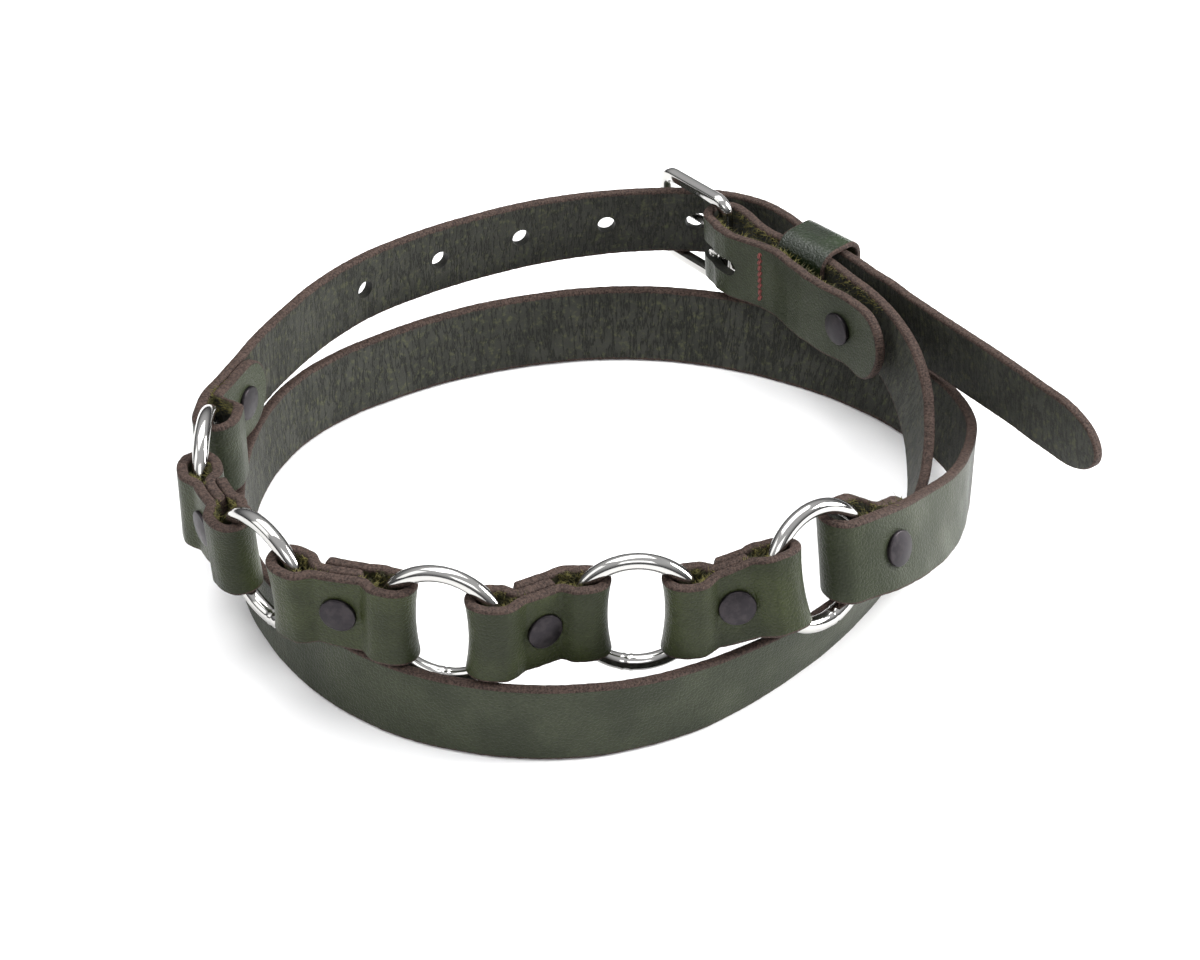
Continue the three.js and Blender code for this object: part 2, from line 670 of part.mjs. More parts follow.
// The buckle fold leaves room for the keeper's inner wall before it closes.
function buckleFoldApart(back) {
  const share = back / BUCKLE_FOLD_LENGTH;
  const i = BUCKLE_FOLD.findIndex((row) => row.back > share);
  const a = BUCKLE_FOLD[i - 1];
  const b = BUCKLE_FOLD[i];
  return LEATHER * (a.apart + ((b.apart - a.apart) * (share - a.back)) / (b.back - a.back));
}

const buckleFold = {
  radius: (LEATHER * (BUCKLE_FOLD[0].apart - 1)) / 2,
  bow: 0,
  length: BUCKLE_FOLD_LENGTH,
  apart: buckleFoldApart,
};

// Buckle directions: along runs from the heel bar to the far bar, face points out of the coil.
const heelFrame = longPath[0];
const along = new THREE.Vector3(Math.cos(FRAME_TURN * DEG), Math.sin(FRAME_TURN * DEG), 0);
const heel = heelFrame.mid.clone().addScaledVector(heelFrame.out, -(buckleFold.radius + LEATHER / 2));
heel.z = BUCKLE_HEIGHT;
const buckleUp = heelFrame.rise.clone().normalize();
const face = along.clone().cross(buckleUp).normalize();
const buckle = { heel, along: buckleUp.clone().cross(face).normalize(), up: buckleUp, face };

const longRivet = squared(frameAtAngle(longPath, RING_5_RIVET_ANGLE));
const buckleRivet = squared(frameAtAngle(longPath, BUCKLE_RIVET_ANGLE));
const tailRivet = squared(frameAtAngle(tailPath, RING_1_RIVET_ANGLE));
const rivetHole = RIVET_POST / 2 + RIVET_CLEARANCE;

const longFrames = [
  ...foldedEnd(reversed(longPath), buckleFold).reverse(),
  ...longPath,
  ...foldedEnd(longPath, ringFold(RING_5_OPEN, 0, RING_5_FOLD_LENGTH)),
];
const slotHigh = PRONG_WIDTH + 2 * SLOT_CLEARANCE;
const longStrap = cut(strap(longFrames), [
  drill(longRivet, rivetHole, STRAP_WIDTH),
  drill(buckleRivet, rivetHole, STRAP_WIDTH),
  buckleBox(buckle, 0, SLOT_LENGTH, slotHigh, STRAP_WIDTH),
]);
add("long_strap", longStrap, GREEN, 0.5, 0);

const tailEnd = tailPath[tailPath.length - 1].along;
const tipRows = roundedEnd(TIP_LENGTH, 6);
const tipFrames = tipRows.map((row) => ({ ...frameAlong(tailPath, tailEnd - row.back), width: row.width }));
const tailFrames = [
  ...foldedEnd(reversed(tailPath), ringFold(RING_1_OPEN, RING_1_BOW, RING_1_FOLD_LENGTH)).reverse(),
  ...tailPath.filter((frame) => frame.along < tailEnd - TIP_LENGTH),
  ...tipFrames,
];
const prongHole = frameAtAngle(tailPath, PRONG_HOLE_ANGLE);
const punched = Array.from({ length: PUNCH_HOLES }, (_, i) => {
  return drill(frameAlong(tailPath, prongHole.along - i * HOLE_PITCH), PUNCH_HOLE / 2, STRAP_WIDTH / 2);
});
const prongRoom = buckleBox(buckle, FRAME_LENGTH * 0.7, PRONG_ROOM, PUNCH_HOLE, PRONG_THICKNESS + 1);
const prongOut = buckle.face.clone().multiplyScalar(FRAME_WIRE / 2 + SEAT_GAP + PRONG_THICKNESS / 2);
prongRoom.translate(prongOut.x, prongOut.y, prongOut.z);
const tailDrills = [...punched, prongRoom, drill(tailRivet, rivetHole, STRAP_WIDTH)];
const tailStrap = cut(strap(tailFrames), tailDrills);
add("tail_strap", tailStrap, GREEN, 0.5, 0);

const front = LEATHER / 2;
const tailFar = -(LEATHER + LAYER_GAP + RIVET_SLACK) - LEATHER / 2;
for (let i = 0; i < rings.length; i++) {
  add(rings[i].name, ring(rings[i]), NICKEL, 0.15, 1);
}
for (let i = 0; i < rings.length - 1; i++) {
  const spine = linkSpine(rings[i], rings[i + 1]);
  const middle = spine.at(spine.length / 2);
  const seat = linkGap(spine.length / 2 - RIVET_CAP / 2, spine.length) + LEATHER + RIVET_SLACK;
  add(`ring_link_${i + 1}`, cut(link(spine), [drill(middle, rivetHole, STRAP_WIDTH)]), LINK_GREEN, 0.5, 0);
  add(`rivet_${i + 1}`, rivet(middle, seat, -seat - LEATHER - 2 * LAYER_GAP), GUNMETAL, 0.4, 0.9);
}
const longBack = longPath[longPath.length - 1].along - longRivet.along - RIVET_CAP / 2;
const longFold = ringFold(RING_5_OPEN, 0, RING_5_FOLD_LENGTH);
const longFar = -longFold.apart(longBack, 2 * STRAP_TUNNEL + LEATHER) - LEATHER / 2 - 1.5 * RIVET_CAP_RISE;
const buckleFar = -buckleFoldApart(buckleRivet.along - RIVET_CAP / 2) - LEATHER / 2;
add("rivet_5", rivet(longRivet, front, longFar), GUNMETAL, 0.4, 0.9);
add("rivet_6", rivet(tailRivet, front, tailFar), GUNMETAL, 0.4, 0.9);
add("rivet_7", rivet(buckleRivet, front, buckleFar), GUNMETAL, 0.4, 0.9);
add("buckle_frame", buckleFrame(buckle), NICKEL, 0.15, 1);
add("buckle_prong", buckleProng(buckle), NICKEL, 0.15, 1);
const keeperFrame = frameAlong(longPath, KEEPER_BACK);
add("keeper", keeper(keeperFrame, [longPath, tailPath]), LINK_GREEN, 0.35, 0);

const box = new THREE.Box3().setFromObject(belt);
belt.position.set(-(box.min.x + box.max.x) / 2, -(box.min.y + box.max.y) / 2, -box.min.z);

export default belt;
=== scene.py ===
"""Dresses the double ring belt: smooth leather, polished metal, stitches, fibres and a pale studio floor.

The functions work in millimetres in the coil's own frame. put() turns points to metres in the row frame.
"""

from collections import namedtuple

import bmesh
import bpy
import numpy as np
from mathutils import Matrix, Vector


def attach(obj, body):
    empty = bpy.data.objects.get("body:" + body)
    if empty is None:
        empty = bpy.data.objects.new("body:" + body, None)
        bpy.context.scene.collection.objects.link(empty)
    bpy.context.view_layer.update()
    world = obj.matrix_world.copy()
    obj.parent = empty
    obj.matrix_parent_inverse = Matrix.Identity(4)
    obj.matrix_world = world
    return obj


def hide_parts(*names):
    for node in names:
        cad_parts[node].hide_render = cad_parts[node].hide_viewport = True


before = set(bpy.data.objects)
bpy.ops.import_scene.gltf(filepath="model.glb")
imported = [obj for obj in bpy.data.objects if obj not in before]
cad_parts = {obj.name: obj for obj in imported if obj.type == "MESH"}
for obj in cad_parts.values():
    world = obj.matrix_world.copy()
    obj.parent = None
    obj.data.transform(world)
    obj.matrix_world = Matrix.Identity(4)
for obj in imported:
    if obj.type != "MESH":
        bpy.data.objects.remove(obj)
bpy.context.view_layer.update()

bl_info = {
    "name": "Double ring belt",
    "version": (1, 0, 0),
    "blender": (4, 5, 0),
    "location": "3D View > Sidebar > Belt",
    "description": "Builds the looks of a leather belt with a chain of metal rings",
    "category": "Object",
}

# Sizes of the solids, in millimetres
STRAP_WIDTH = 20.5
LEATHER = 2.4
LAYER_GAP = 0.4
COIL_RADIUS = 88.0
COIL_CENTRE = (-3.0, -25.0)
RING_RADIUS = 14.5
RING_WIRE = 4.0
TUNNEL_RADIUS = 3.0
STRAP_TUNNEL = 3.6
FOLD_CLOSE = 5.0
LINK_OPEN = 2.3
LINK_CLOSE = 4.8
LINK_LAP = 0.22
LAP_EASE_START = 5.5
LAP_EASE = 6.0
SPINE_PULL = 0.38
FRAME_WIRE = 3.6
FRAME_LENGTH = 24.4
FRAME_OPENING = 22.0
FRAME_CORNER = 3.4
FRAME_TURN = 130.5
BUCKLE_HEIGHT = 32.21
SEAT_GAP = 0.3
PRONG_WIDTH = 3.4
PRONG_THICKNESS = 2.0
SLOT_LENGTH = 22.0
SLOT_HIGH = 5.0
PRONG_ROOM = 18.0
PUNCH_HOLE = 5.0
HOLE_PITCH = 25.0
PUNCH_HOLES = 5
PRONG_HOLE_ANGLE = 74.3
KEEPER_BACK = 28.0
KEEPER_WIDTH = 16.5
KEEPER_WALL = 1.5
RIVET_POST = 3.0
TIP_LENGTH = 14.0
BUCKLE_FOLD_LENGTH = 70.0
RING_5_FOLD_LENGTH = 27.0
RING_1_FOLD_LENGTH = 33.0
RING_5_OPEN = 6.0
RING_1_OPEN = 4.4
RING_5_RIVET_ANGLE = -392.3
RING_1_RIVET_ANGLE = 169.3
BUCKLE_RIVET_ANGLE = 36.8
STITCH_BACK = 17.8
LOOP_GROWTH = 2.4
KEEPER_CORNER = 4.4

UP = np.array([0.0, 0.0, 1.0])
FINE = 12
SOFT = "SMOOTHSTEP"

# The two coils. Columns: angle in degrees about the coil centre, reach in coil radii, lift of the bottom
# edge in strap widths, lean of the top edge outwards in degrees.
LONG_ROUTE = np.array([
    (66, 1.172, 1.07, -4), (64, 1.148, 1.07, -4), (61.5, 1.112, 1.07, -4), (59, 1.09, 1.07, -4),
    (56, 1.076, 1.07, -3), (52, 1.068, 1.07, -2), (48, 1.059, 1.07, -1), (44, 1.049, 1.06, -1),
    (40, 1.036, 1.05, 0), (35, 1.032, 1.04, 0), (30, 1.024, 1, 2), (25, 1.015, 0.95, 4),
    (20, 1.008, 0.84, 6), (15, 0.998, 0.68, 8), (10, 0.984, 0.5, 9), (0, 0.952, 0.22, 10),
    (-10, 0.918, 0.06, 12), (-20, 0.888, 0, 14), (-30, 0.871, 0, 15), (-40, 0.862, 0, 14),
    (-50, 0.865, 0, 12), (-60, 0.879, 0, 8), (-70, 0.904, 0, 4), (-80, 0.931, 0, 2),
    (-90, 0.956, 0, -1), (-100, 0.975, 0, -2), (-110, 0.991, 0, -2), (-120, 1.003, 0, -2),
    (-130, 1.006, 0, -2), (-140, 1.003, 0, -2), (-150, 1, 0, -1), (-160, 1.003, 0, 0),
    (-170, 0.998, 0, 0), (-180, 0.997, 0, 0), (-190, 1, 0, 1), (-200, 1.004, 0, 2),
    (-210, 0.997, 0, 3), (-220, 0.975, 0, 3), (-230, 0.952, 0, 4), (-240, 0.942, 0, 6),
    (-250, 0.941, 0, 8), (-260, 0.949, 0, 10), (-270, 0.967, 0, 13), (-280, 0.99, 0, 16),
    (-290, 1.014, 0, 19), (-300, 1.039, 0, 20), (-310, 1.067, 0, 20), (-320, 1.1, 0, 19),
    (-330, 1.13, 0, 16), (-340, 1.146, 0.03, 11), (-347, 1.14, 0.1, 6), (-353, 1.118, 0.22, 2),
    (-360.2, 1.084, 0.36, -1), (-365.4, 1.065, 0.47, -3), (-370.8, 1.046, 0.58, -6),
    (-376.3, 1.026, 0.71, -10), (-381.8, 1.009, 0.85, -13), (-387.4, 0.997, 0.98, -15),
    (-392.9, 0.982, 1.09, -16), (-397.1, 0.965, 1.15, -15), (-400.6, 0.947, 1.17, -15),
], float)
TAIL_ROUTE = np.array([
    (182, 1.1, 1.02, 0), (177, 1.088, 1.02, 0), (172, 1.06, 1.02, 0), (166, 1.04, 1.02, 0),
    (158, 1.03, 1.02, 0), (150, 1.031, 1.02, -1), (140, 1.044, 1.02, -1), (130, 1.061, 1.02, -2),
    (120, 1.073, 1.02, -2), (110, 1.095, 1.02, -2), (100, 1.132, 1.02, -2), (90, 1.175, 1.02, -3),
    (82, 1.21, 1.03, -4), (76, 1.233, 1.04, -4), (70, 1.248, 1.05, -4), (66, 1.245, 1.06, -4),
    (62, 1.227, 1.07, -4), (58, 1.195, 1.07, -4), (55, 1.165, 1.07, -4), (51, 1.14, 1.07, -4),
    (47, 1.13, 1.07, -4), (43, 1.124, 1.07, -5), (39, 1.118, 1.07, -6), (35, 1.122, 1.07, -7),
    (30, 1.125, 1.07, -8), (25, 1.14, 1.07, -8), (20, 1.165, 1.07, -8), (15, 1.2, 1.07, -8),
    (10, 1.247, 1.07, -8), (5, 1.308, 1.05, -8), (0, 1.384, 1.04, -8), (-3.4, 1.448, 1.02, -8),
], float)

# The rings. Columns: angle, reach, height of the middle in millimetres, turn about Z, tilt upwards.
RING_ROWS = np.array([
    (-171.63, 1.0742, 31.1, -92, 0), (-144.7, 1.06, 31.1, -47.6, -4), (-114.1, 0.93, 31.1, -15, 1.5),
    (-80.7, 0.806, 31.1, 2, 2), (-46.5, 0.893, 34.71, 40, 14),
], float)

# The buckle's fold. Columns: distance back from the heel bar, distance between the layers' middles.
BUCKLE_FOLD = np.array([
    (0, 9.8), (6, 10.6), (10, 9.7), (14, 7.6), (18, 6.6), (22, 6.7), (30, 8.8), (37, 9.6), (44, 8.8),
    (50, 7.4), (58, 6.2), (74, 5.4),
], float)

Path = namedtuple("Path", "mid run out rise bow along")
Ring = namedtuple("Ring", "centre across up face")
Buckle = namedtuple("Buckle", "heel along up face")


def unit(v):
    """Each vector divided by its own length."""
    return v / np.linalg.norm(v, axis=-1, keepdims=True)


def smooth(x):
    """Three x squared less two x cubed, with x held between 0 and 1."""
    c = np.clip(x, 0, 1)
    return c * c * (3 - 2 * c)


def through(rows, per_row):
    """Uniform Catmull-Rom curve through a table's rows, its first and last tangents mirrored."""
    ends = [2 * rows[:1] - rows[1:2], rows, 2 * rows[-1:] - rows[-2:-1]]
    padded = np.vstack(ends)
    at = np.linspace(0, len(rows) - 1, (len(rows) - 1) * per_row + 1)
    i = np.minimum(at.astype(int), len(rows) - 2)
    t = (at - i)[:, None]
    p0, p1, p2, p3 = (padded[i + k] for k in range(4))
    bend = 2 * p0 - 5 * p1 + 4 * p2 - p3 + t * (3 * (p1 - p2) + p3 - p0)
    return p1 + 0.5 * t * (p2 - p0 + t * bend)


def on_coil(angle, reach, z):
    """Polar place about the coil centre: reach coil radii at an angle in degrees, at height z."""
    turn = np.radians(angle)
    x = COIL_CENTRE[0] + reach * COIL_RADIUS * np.cos(turn)
    y = COIL_CENTRE[1] + reach * COIL_RADIUS * np.sin(turn)
    return np.stack([x, y, z + 0 * x], -1)


def path_of(mid, out, rise, bow):
    """A strip's path: its middle line with the outward and upward directions, the direction of travel
    from neighbouring points, and the distance along it as the running sum of the steps."""
    steps = np.linalg.norm(np.diff(mid, axis=0), axis=1)
    along = np.concatenate([[0.0], np.cumsum(steps)])
    return Path(mid, unit(np.gradient(mid, axis=0)), unit(out), unit(rise), bow, along)


def sample(path, along):
    """The path's values at any distances, straight between its points."""
    parts = []
    for part in path[:5]:
        parts.append(np.stack([np.interp(along, path.along, part[:, k]) for k in range(3)], -1))
    return Path(*parts, along)


def backwards(path):
    """The same path walked the other way."""
    return path_of(path.mid[::-1], path.out[::-1], path.rise[::-1], path.bow[::-1])


def route(rows):
    """A strap's path from a coil table: bottom edge at lift strap widths, outward level and square to
    the travel, upward leaning outwards by lean. Also gives the angle at each point."""
    angle, reach, lift, lean = through(rows, FINE).T
    lean = np.radians(lean)[:, None]
    z = np.maximum(lift, 0) * STRAP_WIDTH + 0.5 * STRAP_WIDTH * np.cos(lean[:, 0])
    mid = on_coil(angle, reach, z)
    run = unit(np.gradient(mid, axis=0))
    out = unit(np.cross(UP, run))
    rise = np.cross(run, out) * np.cos(lean) + out * np.sin(lean)
    return path_of(mid, out, rise, np.zeros_like(mid)), angle


def folded(path, radius, bow, length, apart):
    """Adds a fold to the path's end: half a turn inwards of the given radius, then a layer that lies
    back under the path for a length, apart(back) away from it."""
    turn = np.linspace(0, np.pi, 26)[1:-1, None]
    mid, run, out, rise = (part[-1] for part in path[:4])
    turned = out * np.cos(turn) + run * np.sin(turn)
    back = np.linspace(0, length, int(length) + 1)
    under = sample(path, path.along[-1] - back)
    middles = [path.mid, mid - out * radius + turned * radius]
    middles.append(under.mid - under.out * apart(back)[:, None])
    rises = [path.rise, np.tile(rise, (len(turn), 1)), under.rise]
    bows = [path.bow, run * (bow * np.sin(turn)), np.zeros_like(under.mid)]
    outs = [path.out, turned, -under.out]
    return path_of(np.vstack(middles), np.vstack(outs), np.vstack(rises), np.vstack(bows))


def ring_fold_apart(open_for):
    """Layers stay two tunnel radii apart past the ring's wire, then ease to one leather thickness."""
    wide = 2 * STRAP_TUNNEL + LEATHER
    return lambda back: wide + (LEATHER + LAYER_GAP - wide) * smooth((back - open_for) / FOLD_CLOSE)


def buckle_fold_apart(back):
    """Straight between the rows of the buckle's fold table."""
    return np.interp(back, BUCKLE_FOLD[:, 0], BUCKLE_FOLD[:, 1])


long_route, long_angle = route(LONG_ROUTE)
tail_route, tail_angle = route(TAIL_ROUTE)


def frame_at(path, angles, angle):
    """The path's frame at one angle of its table, its outward direction square to the leather's face."""
    found = sample(path, np.interp(-angle, -angles, path.along))
    return found._replace(out=unit(np.cross(found.rise, found.run)))


def ring_of(row):
    """A ring's centre and directions: across turned about Z, the face looking up by the tilt."""
    turn, tilt = np.radians(row[3:])
    centre = on_coil(row[0], row[1], row[2])
    across = np.array([np.cos(turn), np.sin(turn), 0])
    face = np.array([np.sin(turn), -np.cos(turn), 0]) * np.cos(tilt) + UP * np.sin(tilt)
    return Ring(centre, across, np.cross(face, across), face)


rings = [ring_of(row) for row in RING_ROWS]


def row_shift():
    """Where the coil frame's origin lies in the row frame: the middle of the fourth ring's solid less
    that ring's place in the table."""
    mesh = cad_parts["ring_4"].data
    co = np.zeros(len(mesh.vertices) * 3, np.float32)
    mesh.vertices.foreach_get("co", co)
    return co.reshape(-1, 3).mean(0).astype(float) * 1000 - rings[3].centre


SHIFT = row_shift()


def buckle_of():
    """The buckle's directions: along from the heel bar to the far bar, up with the strap's lean, face
    out of the coil. The heel bar lies in the middle of the strap's fold."""
    turn = np.radians(FRAME_TURN)
    heel = long_route.mid[0] - long_route.out[0] * BUCKLE_FOLD[0, 1] / 2
    heel[2] = BUCKLE_HEIGHT
    up = long_route.rise[0]
    face = unit(np.cross([np.cos(turn), np.sin(turn), 0], up))
    return Buckle(heel, np.cross(up, face), up, face)


buckle = buckle_of()


def add(tree, kind, sockets=(), out=0, **settings):
    """Adds one shader node with its settings and gives one of its outputs. Sockets are set by name or
    in order, each to a number, a colour or another node's output."""
    made = tree.nodes.new("ShaderNode" + kind)
    for name, value in settings.items():
        setattr(made, name, value)
    for name, value in sockets.items() if isinstance(sockets, dict) else enumerate(sockets):
        if isinstance(value, bpy.types.NodeSocket):
            tree.links.new(value, made.inputs[name])
        else:
            made.inputs[name].default_value = value
    return made.outputs[out] if len(made.outputs) else None


def linear(colour):
    """An sRGB hex number as a linear colour: below 0.04045 a twelfth, above it the 2.4 power curve."""
    parts = np.array([colour >> 16 & 255, colour >> 8 & 255, colour & 255]) / 255
    parts = np.where(parts <= 0.04045, parts / 12.92, ((parts + 0.055) / 1.055) ** 2.4)
    return (*parts, 1.0)


def opaque(colour):
    """A colour setting's three parts with a full alpha."""
    return (*colour, 1.0)


def new_material(name):
    """An empty node material, its tree and the place in the object in metres."""
    made = bpy.data.materials.new(name)
    made.use_nodes = True
    made.node_tree.nodes.clear()
    return made, made.node_tree, add(made.node_tree, "TexCoord", out="Object")


def finish_material(tree, sockets):
    """Ends a material in one Principled shader."""
    add(tree, "OutputMaterial", {"Surface": add(tree, "BsdfPrincipled", sockets)})


def oiled_grain(name, dark, light, rough, shine=0.2):
    """Vegetable-tanned leather's oiled grain side. The eye sees pebbles of about a millimetre, darker
    pores, soft clouds of lighter green where the oil has moved, and a satin gloss."""
    made, tree, place = new_material(name)
    clouds = add(tree, "TexNoise", {"Vector": place, "Scale": 55.0, "Detail": 3.0})
    clouds = add(tree, "MapRange", (clouds, 0.35, 0.68), interpolation_type=SOFT)
    colour = add(tree, "Mix", {0: clouds, 6: dark, 7: light}, 2, data_type="RGBA")
    pores = add(tree, "TexNoise", {"Vector": place, "Scale": 1500.0, "Detail": 3.0, "Roughness": 0.6})
    dots = add(tree, "MapRange", (pores, 0.62, 0.3, 0.0, 0.45), interpolation_type=SOFT)
    deep = (*(0.62 * part for part in dark[:3]), 1.0)
    colour = add(tree, "Mix", {0: dots, 6: colour, 7: deep}, 2, data_type="RGBA")
    cells = {"Vector": place, "Scale": 950.0}
    cells = add(tree, "TexVoronoi", cells, "Distance", feature="DISTANCE_TO_EDGE")
    grooves = add(tree, "MapRange", (cells, 0.0, 0.22), interpolation_type=SOFT)
    strip = add(tree, "UVMap", uv_map="strip")
    pulled = add(tree, "Mapping", {"Vector": strip, "Scale": (420.0, 60.0, 1.0)})
    pulls = add(tree, "TexNoise", {"Vector": pulled, "Scale": 1.0})
    height = add(tree, "Math", (grooves, 0.55), operation="MULTIPLY")
    height = add(tree, "Math", (pores, 0.8, height), operation="MULTIPLY_ADD")
    height = add(tree, "Math", (pulls, 0.9, height), operation="MULTIPLY_ADD")
    bump = add(tree, "Bump", {"Height": height, "Strength": 0.6, "Distance": 0.0002})
    glossy = (clouds, 0.0, 1.0, rough + 0.05, rough - 0.03)
    glossy = add(tree, "MapRange", glossy, interpolation_type=SOFT)
    finish_material(tree, {"Base Color": colour, "Roughness": glossy, "IOR": 1.5,
                           "Specular IOR Level": shine, "Normal": bump})
    return made


def waxed_flesh(name, dark, fleck, edge_dark, edge_light, crease):
    """Leather's flesh side, dyed and waxed, and its cut edge: short matted fibres with olive flecks,
    creases across the strip from bending with painted shade along each crease, and a brown raw edge that
    is fibrous and matt."""
    made, tree, place = new_material(name)
    patches = add(tree, "TexNoise", {"Vector": place, "Scale": 90.0, "Detail": 3.0})
    patches = add(tree, "MapRange", (patches, 0.35, 0.7, 0.0, 0.35), interpolation_type=SOFT)
    colour = add(tree, "Mix", {0: patches, 6: dark, 7: crease}, 2, data_type="RGBA")
    flecks = {"Vector": place, "Scale": 650.0, "Detail": 4.0, "Roughness": 0.65}
    flecks = add(tree, "TexNoise", flecks)
    flecks = add(tree, "MapRange", (flecks, 0.5, 0.68, 0.0, 0.5), interpolation_type=SOFT)
    colour = add(tree, "Mix", {0: flecks, 6: colour, 7: fleck}, 2, data_type="RGBA")
    strip = add(tree, "UVMap", uv_map="strip")
    bent = add(tree, "Mapping", {"Vector": strip, "Scale": (520.0, 95.0, 1.0)})
    creases = {"Vector": bent, "Scale": 1.0, "Detail": 4.0, "Roughness": 0.62}
    creases = add(tree, "Math", (add(tree, "TexNoise", creases), 0.5), operation="SUBTRACT")
    creases = add(tree, "Math", (creases,), operation="ABSOLUTE")
    lines = add(tree, "MapRange", (creases, 0.0, 0.06), interpolation_type=SOFT)
    # Painted shade: each crease line is mixed towards a much darker flesh colour.
    deep = (*(0.3 * part for part in dark[:3]), 1.0)
    crease_shade_mask = add(tree, "MapRange", (lines, 0.0, 1.0, 0.75, 0.0), interpolation_type=SOFT)
    colour = add(tree, "Mix", {0: crease_shade_mask, 6: colour, 7: deep}, 2, data_type="RGBA")
    fibres = {"Vector": place, "Scale": 1900.0, "Detail": 3.0, "Roughness": 0.7}
    fibres = add(tree, "TexNoise", fibres)
    raised = add(tree, "MapRange", (fibres, 0.35, 0.65), interpolation_type=SOFT)
    raw = add(tree, "Mix", {0: raised, 6: edge_dark, 7: edge_light}, 2, data_type="RGBA")
    edge = add(tree, "Attribute", out="Fac", attribute_name="edge")
    wavy = add(tree, "TexNoise", {"Vector": place, "Scale": 1100.0})
    wavy = add(tree, "Math", (wavy, 0.7, edge), operation="MULTIPLY_ADD")
    border = add(tree, "MapRange", (wavy, 0.85, 1.15), interpolation_type=SOFT)
    colour = add(tree, "Mix", {0: border, 6: colour, 7: raw}, 2, data_type="RGBA")
    height = add(tree, "Math", (fibres, 1.1, lines), operation="MULTIPLY_ADD")
    bump = add(tree, "Bump", {"Height": height, "Strength": 0.6, "Distance": 0.0003})
    rough = add(tree, "MapRange", (border, 0.0, 1.0, 0.62, 0.75), interpolation_type=SOFT)
    finish_material(tree, {"Base Color": colour, "Roughness": rough, "IOR": 1.5,
                           "Specular IOR Level": 0.25, "Normal": bump})
    return made


def polished_metal(name, colour, rough, haze):
    """Plated metal, buffed bright: a clear reflection with faint buffing haze in patches of about a
    millimetre."""
    made, tree, place = new_material(name)
    cloud = add(tree, "TexNoise", {"Vector": place, "Scale": 700.0, "Detail": 4.0, "Roughness": 0.6})
    buffed = add(tree, "MapRange", (cloud, 0.3, 0.7, rough, rough + haze), interpolation_type=SOFT)
    waves = add(tree, "TexNoise", {"Vector": place, "Scale": 420.0, "Detail": 1.0})
    bump = add(tree, "Bump", {"Height": waves, "Strength": 0.1, "Distance": 0.00012})
    finish_material(tree, {"Base Color": colour, "Metallic": 1.0, "Roughness": buffed, "Normal": bump})
    return made


def gunmetal_plate(name, dark, light):
    """Steel caps with dark gunmetal plate: a satin face, a little worn to a lighter grey in patches."""
    made, tree, place = new_material(name)
    worn = add(tree, "TexNoise", {"Vector": place, "Scale": 480.0, "Detail": 4.0, "Roughness": 0.65})
    worn = add(tree, "MapRange", (worn, 0.42, 0.66), interpolation_type=SOFT)
    colour = add(tree, "Mix", {0: worn, 6: dark, 7: light}, 2, data_type="RGBA")
    rough = add(tree, "MapRange", (worn, 0.0, 1.0, 0.38, 0.48), interpolation_type=SOFT)
    grains = add(tree, "TexNoise", {"Vector": place, "Scale": 2600.0})
    bump = add(tree, "Bump", {"Height": grains, "Strength": 0.2, "Distance": 0.00004})
    finish_material(tree, {"Base Color": colour, "Metallic": 0.9, "Roughness": rough, "Normal": bump})
    return made


def twisted_thread(name, dark, light):
    """Waxed linen thread, twisted from plies about 0.35 mm apart, with painted shade in the grooves
    between the plies.
    """
    made, tree, _ = new_material(name)
    strip = add(tree, "UVMap", uv_map="strip")
    plies = {"Vector": strip, "Scale": 900.0, "Distortion": 0.5}
    plies = add(tree, "TexWave", plies, "Fac", bands_direction="DIAGONAL")
    # Painted shade: the plies' bands mix the thread towards its darker colour in the grooves between
    # them.
    colour = add(tree, "Mix", {0: plies, 6: dark, 7: light}, 2, data_type="RGBA")
    bump = add(tree, "Bump", {"Height": plies, "Strength": 0.5, "Distance": 0.0001})
    finish_material(tree, {"Base Color": colour, "Roughness": 0.7, "Normal": bump})
    return made


def loose_fibre(name, dark, light):
    """Loose leather fibres, undyed inside, golden to olive, matt."""
    made, tree, place = new_material(name)
    tone = add(tree, "TexNoise", {"Vector": place, "Scale": 420.0})
    tone = add(tree, "MapRange", (tone, 0.35, 0.65), interpolation_type=SOFT)
    colour = add(tree, "Mix", {0: tone, 6: dark, 7: light}, 2, data_type="RGBA")
    finish_material(tree, {"Base Color": colour, "Roughness": 0.85})
    return made


def pale_paper(name, colour):
    """Matt white paper sweep, faintly uneven."""
    made, tree, place = new_material(name)
    tone = add(tree, "TexNoise", {"Vector": place, "Scale": 3.0})
    tone = add(tree, "MapRange", (tone, 0.3, 0.7, 0.9, 0.93), interpolation_type=SOFT)
    finish_material(tree, {"Base Color": colour, "Roughness": tone, "Specular IOR Level": 0.1})
    return made


